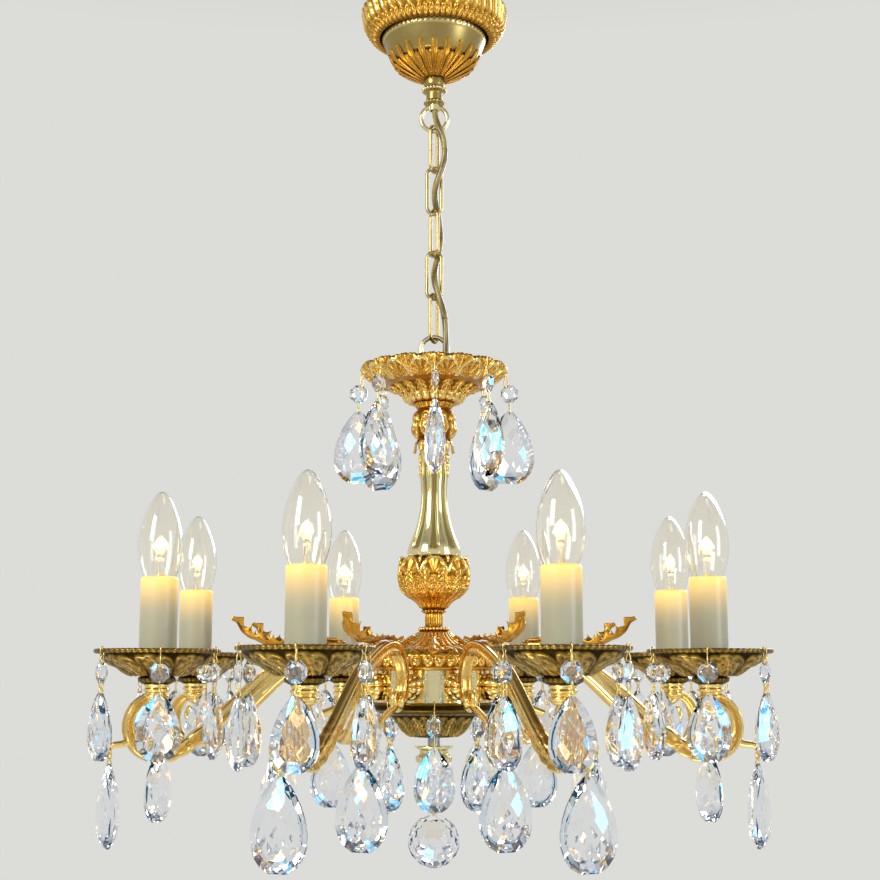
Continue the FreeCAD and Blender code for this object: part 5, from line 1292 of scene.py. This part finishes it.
def column():
    """Capital, fluted vase, leaf cup and waist down the middle."""
    capital = foot("column_capital")

    def scrolls(turn, radius, height):
        up = share_of(height, capital + 4.5 * MM, capital + 29 * MM)
        coils = 2.0 * MM * volutes_of(turn, up, 4, 2.2) * band(height, capital + 4 * MM, capital + 30 * MM)
        ribs = 1.0 * MM * gadroons(turn, 20) * band(height, capital + 30.5 * MM, capital + 36 * MM)
        return coils + ribs + 0.6 * MM * ridge(height - capital - 1.6 * MM, 1.1 * MM)

    spun("column_capital_cast", "column_capital",
         ((0, 0), (13, 0), (13.5, 0.8), (11.5, 5.4, 0.25), (16.4, 19.8, 0.2), (13.1, 30.6), (17, 36), (0, 36)),
         GOLD, "gold", scrolls, 300, step=0.5 * MM)
    lug = blade(((0, 3), (2.4, 1.5), (3.6, -2), (3.2, -6), (4.6, -8.5)), spear(3.6 * MM), 1.2 * MM,
                lambda share: -0.8 * MM * share, 0.7 * MM, step=1.0 * MM, across=8)
    leaf_ring("capital_foot_leaves", "column_capital", lug, 8, 12.0, 1.5)

    vase = foot("column_vase")
    vase_top = top("column_vase")
    line = profile(vase, ((0, 0), (22, 0), (22.4, 0.5, 0.08), (20.2, 13.4, -0.07), (12, 69.1), (11.5, 86.4),
                          (13.5, 95), (13.5, 96), (0, 96)), 1.0 * MM)
    turned_vase = as_object("column_vase_fluted", turned(line, None, 320), (POLISHED,))
    fluted = through(FLUTED, turned_vase, Flutes=8.0, Depth=1.9 * MM, Low=vase + 6 * MM, High=vase_top - 14 * MM,
                     Material=POLISHED)
    fitted(fluted, "chandelier", "polished_brass", "column_vase")
    husks = merged([
        turned(profile(-7 * MM * drop, ((0, 0), (1.5 - 0.25 * drop, 1.0), (2.1 - 0.35 * drop, 3.6), (0.9, 6), (0, 6.6)),
                       0.6 * MM), None, 14) for drop in range(3)])
    leaf_ring("vase_husk_chains", "column_vase", husks, 8, 12.4, 82, offset=TAU / 16)

    cup = foot("column_leaf_cup")
    cup_top = top("column_leaf_cup")

    def cup_relief(turn, radius, height):
        lobes = 1.5 * MM * gadroons(turn, 18) * band(height, cup + 1 * MM, cup + 16 * MM, 1.5 * MM)
        acanthus = leaves_of(turn, share_of(height, cup + 14 * MM, cup + 33 * MM), 12, 5)
        slanted = leaves_of(turn + 0.012 * np.sin(height / MM), share_of(height, cup + 13 * MM, cup + 28 * MM), 12,
                            6, 0.5)
        foliage = 2.6 * MM * np.maximum(acanthus, 0.8 * slanted) * band(height, cup + 13 * MM, cup + 36 * MM, MM)
        arches = 2.3 * MM * shells_of(turn, share_of(height, cup + 29 * MM, cup_top + 0.5 * MM), 8, 3, 0.5)
        rope = 0.9 * MM * ridge(height - cup - 18 * MM, 0.9 * MM) * (0.6 + 0.4 * np.cos(54 * turn))
        return np.maximum(np.maximum(lobes, foliage), arches * band(height, cup + 29 * MM, cup_top, 0.7 * MM)) + rope

    def arched_edge(turn, height):
        edge = np.clip((height - cup_top + 6 * MM) / (6 * MM), 0, 1)
        return 1.8 * MM * edge * (np.abs(np.cos(4 * turn)) ** 0.7 - 1)

    spun("column_leaf_cup_cast", "column_leaf_cup",
         ((0, 0), (9.5, 0), (10, 0.8, -0.1), (20.9, 11, 0.1), (28.4, 24, 0.08), (26.7, 41.5), (26, 43), (0, 43)),
         GOLD, "gold", cup_relief, 432, rise=arched_edge, step=0.6 * MM)
    curl = rod(np.array([(radius * MM, 0, height * MM) for radius, height in (
        (-2.5, 0.0), (-0.6, 2.2), (1.8, 2.6), (3.2, 0.8), (2.6, -1.4), (0.8, -1.8), (0.2, -0.4))]), 1.1 * MM, 10)
    leaf_ring("leaf_cup_corner_scrolls", "column_leaf_cup", curl, 8, 27.5, 40, offset=TAU / 16)

    waist = foot("column_waist")

    def waist_relief(turn, radius, height):
        flutes = 0.55 * MM * gadroons(turn, 16) * band(height, waist + 4 * MM, waist + 14 * MM, 1.5 * MM)
        return flutes + beads_at(turn, height, (26, waist + 1.2 * MM, 1.2 * MM, 11.6 * MM),
                                 (20, waist + 15.4 * MM, 1.1 * MM, 9.4 * MM))

    spun("column_waist_turned", "column_waist",
         ((0, 0), (12, 0), (12, 1.7, -0.25), (7, 5.1), (7, 11.05, -0.25), (10, 16), (10, 17), (0, 17)), GOLD, "gold",
         waist_relief, 208, step=0.4 * MM)


def hub():
    """The cover, the bowl and the finial of the hub; its polished bands keep their CAD shape."""
    cover = foot("hub_cover")

    def cover_relief(turn, radius, height):
        ribs = 1.6 * MM * gadroons(turn, 32) * band(height, cover + 14 * MM, cover + 32 * MM, 2 * MM)
        up = share_of(height, cover + 12.5 * MM, cover + 22 * MM)
        tongues = 1.8 * MM * leaves_of(turn, up, 16, 3, 0.5) * band(height, cover + 12.5 * MM, cover + 22 * MM)
        rosettes = 1.7 * MM * volutes_of(turn, share_of(height, cover + 2.5 * MM, cover + 12.5 * MM), 16, 1.2)
        fillets = 1.0 * MM * (ridge(height - cover - 1.6 * MM, 0.8 * MM) + ridge(height - cover - 12 * MM, 0.7 * MM))
        rosettes = rosettes * band(height, cover + 2.2 * MM, cover + 12 * MM)
        return np.maximum(np.maximum(ribs, tongues), rosettes) + fillets

    spun("hub_cover_cast", "hub_cover",
         ((0, 0), (47, 0), (49, 1), (50, 4), (50, 11.2), (48.6, 12.4, 0.1), (34.3, 18.15, -0.12), (12.4, 32),
          (12, 33), (0, 33)), GOLD, "gold", cover_relief, 640)
    steps = ((15, -1.5), (12, 2.2), (7, 2.8), (3.6, 6.2), (-1, 7.2), (-6, 11.0), (-10, 12.2))
    lug = blade([(-out, -up) for out, up in steps][::-1], lambda share: (3.2 + 1.4 * np.cos(TAU * 2.5 * share)) * MM,
                2.4 * MM, lambda share: -0.9 * MM + 0 * share, 0.9 * MM, step=1.0 * MM, across=8)
    lug = lug.moved(Matrix.Rotation(math.pi, 4, "Y"))
    leaf_ring("hub_scroll_lugs", "hub_cover", lug, 8, 34.5, 14.5)

    bowl = foot("hub_bowl")

    def bowl_relief(turn, radius, height):
        leaves = leaves_of(turn, share_of(height, bowl + 1 * MM, bowl + 17 * MM), 14, 5)
        tongues = leaves_of(turn, share_of(height, bowl + 4 * MM, bowl + 18 * MM), 14, 3, 0.5)
        foliage = 1.9 * MM * np.maximum(leaves, 0.7 * tongues) * band(height, bowl + 0.8 * MM, bowl + 17.5 * MM)
        stones = 0.9 * MM * gadroons(turn, 48) * band(height, bowl + 18.2 * MM, bowl + 20.6 * MM)
        fillets = 0.8 * MM * (ridge(height - bowl - 22 * MM, 0.6 * MM) + ridge(height - bowl - 27.2 * MM, 0.7 * MM))
        return np.maximum(foliage, stones) + fillets

    spun("hub_bowl_cast", "hub_bowl",
         ((0, 0), (15.5, 0), (17, 0.9, 0.12), (30, 12.3, 0.06), (38, 17.8), (46, 20.6), (50.2, 21.6), (51, 23),
          (51, 27.2), (50.4, 28), (44, 28, -0.1), (26.1, 15.3), (0, 15.3)), ANTIQUE, "antique_brass", bowl_relief,
         560)
    spun("hub_finial_turned", "hub_finial",
         ((0, 0), (7.4, 0), (8.25, 0.8), (11.6, 2.2), (12, 3.2), (11.2, 6.0), (12.2, 6.6), (14.6, 8.2), (15.2, 10.5),
          (14.6, 12.4), (12.4, 13.7), (11.6, 15), (12, 17.4), (14.8, 18.6), (16, 20), (16, 21), (0, 21)), POLISHED,
         "polished_brass", None, 160, step=0.35 * MM)
    eye_radius, wire = 3 * MM, 0.75 * MM
    centre = foot("hub_finial") + eye_radius + wire
    loop = [(eye_radius * math.cos(TAU * step / 32), 0, centre + eye_radius * math.sin(TAU * step / 32))
            for step in range(32)]
    fitted(wired("finial_eye", [(loop, True)], wire, 12, WIRE), "chandelier", "polished_brass", "hub_finial")


# ---------------------------------------------------------------- scroll arms

# The arm's middle line and the places on it, as (distance from the axis, height over the arms' tenons).
SCROLL = ((74.5, -13), (64.4, -9.5), (61.6, 8), (69.9, 26), (87.3, 32), (109.2, 27), (138.5, 13), (164.1, -9),
          (191.6, -34), (218, -53), (240, -50.5), (251, -35), (249, -18), (238, -7.5), (229, -6))
INNER_STEM = ((72, -12), (84, -17), (104, -24), (122, -35), (134, -41), (138, -45))
OUTER_STEM = ((247, -38), (252, -42), (258, -42.5), (263, -43), (264, -45))
INNER_VOLUTE = ((64, -9), (68, -15), (76, -17), (82, -12), (81, -5), (75, -3), (71, -7))
OUTER_VOLUTE = ((236, -8), (226, -13), (222, -22), (227, -30), (236, -29), (238, -22), (232, -20))
ARM_EYES = ((138, -48.5), (264, -48.5))
ARM_HALF = 5.7 * MM


def arm_route(name, places, step=1.6 * MM):
    """The smooth line of a scroll or stem, from its places in millimetres."""
    line = smooth_route(name, [(out, 0, up) for out, up in places], step)
    return line + np.array([0, 0, TENON])


def moulded_scroll():
    """The arm's bar: ribbed edges, hollow sides and a dished face, with rings on its low run."""
    line = arm_route("scroll", SCROLL)
    share = np.linspace(0, 1, len(line))[:, None]
    out, up = line[:, 0:1] / MM, (line[:, 2:3] - TENON) / MM
    angle = np.arange(40)[None, :] * TAU / 40
    cosine, sine = np.cos(angle), np.sin(angle)
    width = ARM_HALF * np.sign(cosine) * np.abs(cosine) ** 0.6
    height = ARM_HALF * np.sign(sine) * np.abs(sine) ** 0.6
    side_hollow = 1.7 * MM * ridge(height / ARM_HALF, 0.52) * (np.abs(cosine) > 0.5)
    face_hollow = 1.5 * MM * ridge(width / ARM_HALF, 0.55) * (np.abs(sine) > 0.5)
    size = 0.72 + 0.28 * np.sin(math.pi * np.clip(share * 1.05, 0, 1)) ** 0.5
    curl = np.clip((out - 222) / 12, 0, 1)
    ribs = 0.7 * MM * np.cos(3 * angle) * curl * (up > -58)
    rings = 1.1 * MM * np.abs(np.sin(out / 3.4)) * band(out * MM, 186 * MM, 224 * MM, 6 * MM) * (up < -28)
    width = (width - np.sign(cosine) * side_hollow) * size + (ribs + rings) * cosine
    height = (height - np.sign(sine) * face_hollow) * size + (ribs + rings) * sine
    # Painted shade: the hollows of the sides and face get a lower share, so the brass paints them darker.
    relief_tone = np.clip(0.95 - 0.45 * (side_hollow + face_hollow) / (1.7 * MM), 0, 1) * np.ones_like(share)
    bar = swept(line, width, height, relief=relief_tone)
    silver = (side_hollow[0] > 0.9 * MM)[None, :] & (share[:-1] > 0.33) & (share[:-1] < 0.58)
    bar.finish[:len(bar.quads)] = silver.ravel()
    return bar


def volute_eye(out, up):
    """A round button at the middle of a scroll's end, on both sides of the bar."""
    line = profile(-6.4 * MM, ((0, 0), (2.0, 0.2), (3.4, 1.2), (4.4, 2.4), (4.0, 3.4), (4.0, 9.4), (4.4, 10.4),
                               (3.4, 11.6), (2.0, 12.6), (0, 12.8)), 0.7 * MM, 1)
    place = Matrix.Translation((out * MM, 0, TENON + up * MM)) @ Matrix.Rotation(math.pi / 2, 4, "X")
    return turned(line, None, 28).moved(place)


def tapered(name, places, thick, thin):
    """A round stem or scroll end that thins evenly along its route."""
    line = arm_route(name, places, 1.2 * MM)
    return rod(line, np.linspace(thick, thin, len(line)), 14)


def arm_rosette():
    """The cast flower between the hub's band and the arm."""
    def petals(turn, radius, height):
        return 1.7 * MM * gadroons(turn, 8) * band(radius, 3.5 * MM, 11 * MM, 1.5 * MM)

    line = profile(HUB_RADIUS + 0.3 * MM, ((0, 0), (9.4, 0), (10.4, 2.2), (9, 5.5), (7.4, 6.5), (7.8, 8.5),
                                           (6.6, 11.5), (4.6, 12.6), (4.4, 15.5), (0, 16)), 0.8 * MM)
    place = Matrix.Translation((0, 0, TENON)) @ Matrix.Rotation(math.pi / 2, 4, "Y")
    return turned(line, petals, 56).moved(place)


def arm_leaf():
    """The acanthus leaf on the arm's back: its edges rise in pointed tips that grow towards its end."""
    def cusps(share):
        peaks = [size * np.exp(-np.abs(share - place) / 0.032) for place, size in (
            (0.12, 0.35), (0.24, 0.5), (0.36, 0.6), (0.48, 0.75), (0.60, 0.9), (0.72, 1.0), (0.84, 0.9),
            (0.94, 0.7))]
        return np.max(peaks, axis=0)

    def half(share):
        return (5.6 + 4.2 * cusps(share)) * MM * np.clip((1.0 - share) / 0.2, 0.03, 1) ** 0.7

    def cup(share):
        return (0.8 + 7.5 * cusps(share) * np.clip(share * 3, 0, 1)) * MM

    path = ((84, 36.6), (98, 37.5), (112, 36), (128, 33.5), (142, 33.5), (154, 37), (163, 43), (168, 50),
            (172.5, 53.5))
    leaf = blade(path, half, 1.8 * MM, cup, 1.4 * MM, 0.35 * MM, 0.8 * MM, 16)
    return leaf.moved(Matrix.Translation((0, 0, TENON)))


def arm_seat():
    """The ringed seat that the drip dish stands on."""
    line = profile(SEAT_TOP - 14 * MM, (
        (0, 0), (5.5, 0), (7.5, 1), (8.2, 2.4), (9.8, 3), (10.2, 4.4), (9.8, 5.8), (8.0, 6.4), (8.0, 7.6), (9.8, 8.2),
        (10.2, 9.4), (9.8, 10.6), (8.6, 11.2), (9.4, 12.4), (10, 13.2), (10, 14), (0, 14)), 0.6 * MM, 1)
    return turned(line, None, 56).moved(Matrix.Translation((LAMP_CIRCLE, 0, 0)))


def eye_ring(out, up):
    """A flat ring that a pin hangs in, its hole along the arm."""
    line = profile(-1.1 * MM, ((1.4, 0), (4.4, 0), (4.6, 0.5), (4.6, 1.7), (4.4, 2.2), (1.4, 2.2)), 0.5 * MM, 1, True)
    place = Matrix.Translation((out * MM, 0, TENON + up * MM)) @ Matrix.Rotation(math.pi / 2, 4, "Y")
    return turned(line, None, 32, True).moved(place)


def arms():
    """Eight cast scroll arms, each with its leaf, seat, rosette and the stems of its two drops."""
    pieces = [moulded_scroll(), arm_rosette(), arm_leaf(), arm_seat(), volute_eye(74.5, -11), volute_eye(231, -21)]
    pieces.append(tapered("inner_stem", INNER_STEM, 3.2 * MM, 2.2 * MM))
    pieces.append(tapered("outer_stem", OUTER_STEM, 3.2 * MM, 2.2 * MM))
    pieces.append(tapered("inner_volute", INNER_VOLUTE, 4.2 * MM, 1.6 * MM))
    pieces.append(tapered("outer_volute", OUTER_VOLUTE, 4.2 * MM, 1.6 * MM))
    pieces += [eye_ring(out, up) for out, up in ARM_EYES]
    master = merged(pieces)
    for number in range(1, LIGHTS + 1):
        arm = master.moved(Matrix.Rotation(arm_angle(number), 4, "Z"))
        fitted(as_object("scroll_arm_%d" % number, arm, (GOLD, POLISHED)), "chandelier", "gold", "arm_%d" % number)


def drip_dishes():
    """Eight drip dishes with swirling leaves in low relief."""
    base = SEAT_TOP

    def swirl(turn, radius, height):
        up = share_of(height, base + 6 * MM, base + 22.5 * MM)
        turned_on = turn + 0.35 * up
        leaves = leaves_of(turned_on, up, 8, 5)
        curls = volutes_of(turned_on, up, 8, 1.6, 0.5)
        foliage = 2.3 * MM * np.maximum(leaves, 0.75 * curls) * band(height, base + 6.5 * MM, base + 22.8 * MM)
        collar = 0.8 * MM * gadroons(turn, 20) * band(height, base + 1.2 * MM, base + 5.4 * MM)
        rim = 1.2 * MM * (0.75 + 0.25 * np.cos(60 * turn)) * band(height, base + 23.4 * MM, base + 26.2 * MM, 0.5 * MM)
        return np.maximum(np.maximum(foliage, collar), rim)

    line = profile(base, ((8.5, 0), (11, 0), (12, 0.8, 0.3), (12.4, 6, 0.1), (30, 14, 0.1), (43, 22.8), (47.2, 24),
                          (47.4, 25.4), (47, 26), (42, 26, -0.12), (17, 12), (14.5, 12)), 0.9 * MM)
    dish = turned(line, swirl, 288)
    for number in range(1, LIGHTS + 1):
        place = spot(LAMP_CIRCLE, 0, arm_angle(number), dish_turn(number))
        fitted(as_object("drip_dish_%d" % number, dish.moved(place), (ANTIQUE,)), "chandelier", "antique_brass",
               "bobeche_%d" % number)


# ---------------------------------------------------------------- candles and lamps

BULB_OUTLINE = ((0, 0), (6.4, 0), (6.9, 0.6), (8.9, 1.2, 0.05), (12.8, 8.5, 0.05), (17.4, 32, 0.05), (10.8, 61.5, 0.04),
                (4.6, 72.2, 0.08), (0.8, 74.9), (0, 75))
BULB_WALL = 0.9 * MM


def lamp_glass():
    """A bulb's thin glass, with its inner face turned inwards."""
    base = foot("bulb_glasses")
    outer = profile(base, BULB_OUTLINE, 1.6 * MM)
    slope = np.gradient(outer, axis=0)
    inward = np.column_stack([-slope[:, 1], slope[:, 0]])
    inward /= np.linalg.norm(inward, axis=1)[:, None]
    inner = outer + inward * BULB_WALL
    inner[:, 0] = np.clip(inner[:, 0], 0, None)
    hollow = turned(inner, None, 44)
    hollow.quads = hollow.quads[:, ::-1]
    hollow.triangles = hollow.triangles[:, ::-1]
    return merged([turned(outer, None, 44), hollow])


def glass_stem():
    """The pressed glass stem that carries a filament's wires."""
    base = foot("bulb_glasses") + 1.5 * MM
    return turned(profile(base, ((0, 0), (5.2, 0), (5.0, 2), (2.8, 8), (2.2, 20), (2.8, 23), (0, 25)), MM), None, 20)


def candles():
    """Sleeves, lamp glasses and glowing filaments on the eight seats."""
    base = foot("candle_sleeves")
    sleeve = turned(profile(base, ((13.3, 0), (14.5, 0), (14.5, 69.3), (14.1, 70), (13.7, 70), (13.3, 69.5)), 2.2 * MM, 0,
                            True), None, 64, True)
    places = [spot(LAMP_CIRCLE, 0, arm_angle(number), 0.5 * number) for number in range(1, LIGHTS + 1)]
    for name, shell, finish, slot, node in (
            ("candle_sleeve_tubes", sleeve, SLEEVE, "sleeve", "candle_sleeves"),
            ("lamp_glass_shells", lamp_glass(), BULB, "bulb", "bulb_glasses"),
            ("lamp_glass_stems", glass_stem(), BULB, "bulb", "bulb_glasses")):
        whole = merged([shell.moved(place) for place in places])
        fitted(as_object(name, whole, (finish,)), "chandelier", slot, node)

    stem_top = foot("bulb_glasses") + 25 * MM
    coils, leads = [], []
    for place in places:
        coil = []
        for step in range(49):
            share = step / 48
            along = (share - 0.5) * 13 * MM
            arch = 6 * MM * math.sin(math.pi * share)
            turn = TAU * 12 * share
            coil.append(place @ Vector((along, 1.0 * MM * math.cos(turn),
                                        stem_top + 6 * MM + arch + 1.0 * MM * math.sin(turn))))
        coils.append((coil, False))
        for side in (-1, 1):
            leads.append(([place @ Vector((side * 1.2 * MM, 0, stem_top - 2 * MM)),
                           place @ Vector((side * 3 * MM, 0, stem_top + 1 * MM)),
                           place @ Vector((side * 6.5 * MM, 0, stem_top + 6 * MM))], False))
    fitted(wired("lamp_filaments", coils, 0.45 * MM, 6, FILAMENT), "chandelier", "bulb", "bulb_glasses")
    fitted(wired("lamp_lead_wires", leads, 0.25 * MM, 6, CAP), "chandelier", "cap", "bulb_glasses")


# ---------------------------------------------------------------- CAD pieces that keep their shape

KEPT = {
    "ceiling_bracket": STEEL, "hanging_stem": STEEL, "tie_rod": STEEL, "terminal_block": THERMOSET,
    "lamp_holders": THERMOSET, "bulb_caps": CAP, "canopy_loop": BUFFED, "crown_ring": BUFFED,
    "hub_band_upper": BUFFED, "hub_band_lower": BUFFED,
}


def kept_pieces():
    """Gives each CAD piece that keeps its shape its own finish."""
    for name, finish in KEPT.items():
        piece = frame["nodes"][name]
        for slot in piece.material_slots:
            slot.material = finish


# ---------------------------------------------------------------- make everything

camera()
studio()
supply_cord()
chain()
canopy()
crown()
column()
hub()
arms()
drip_dishes()
candles()
kept_pieces()
crystals()
bottom_ball()
candle_lights()
for master in masters:
    bpy.data.objects.remove(master)

bpy.context.scene.view_settings.view_transform = "Standard"
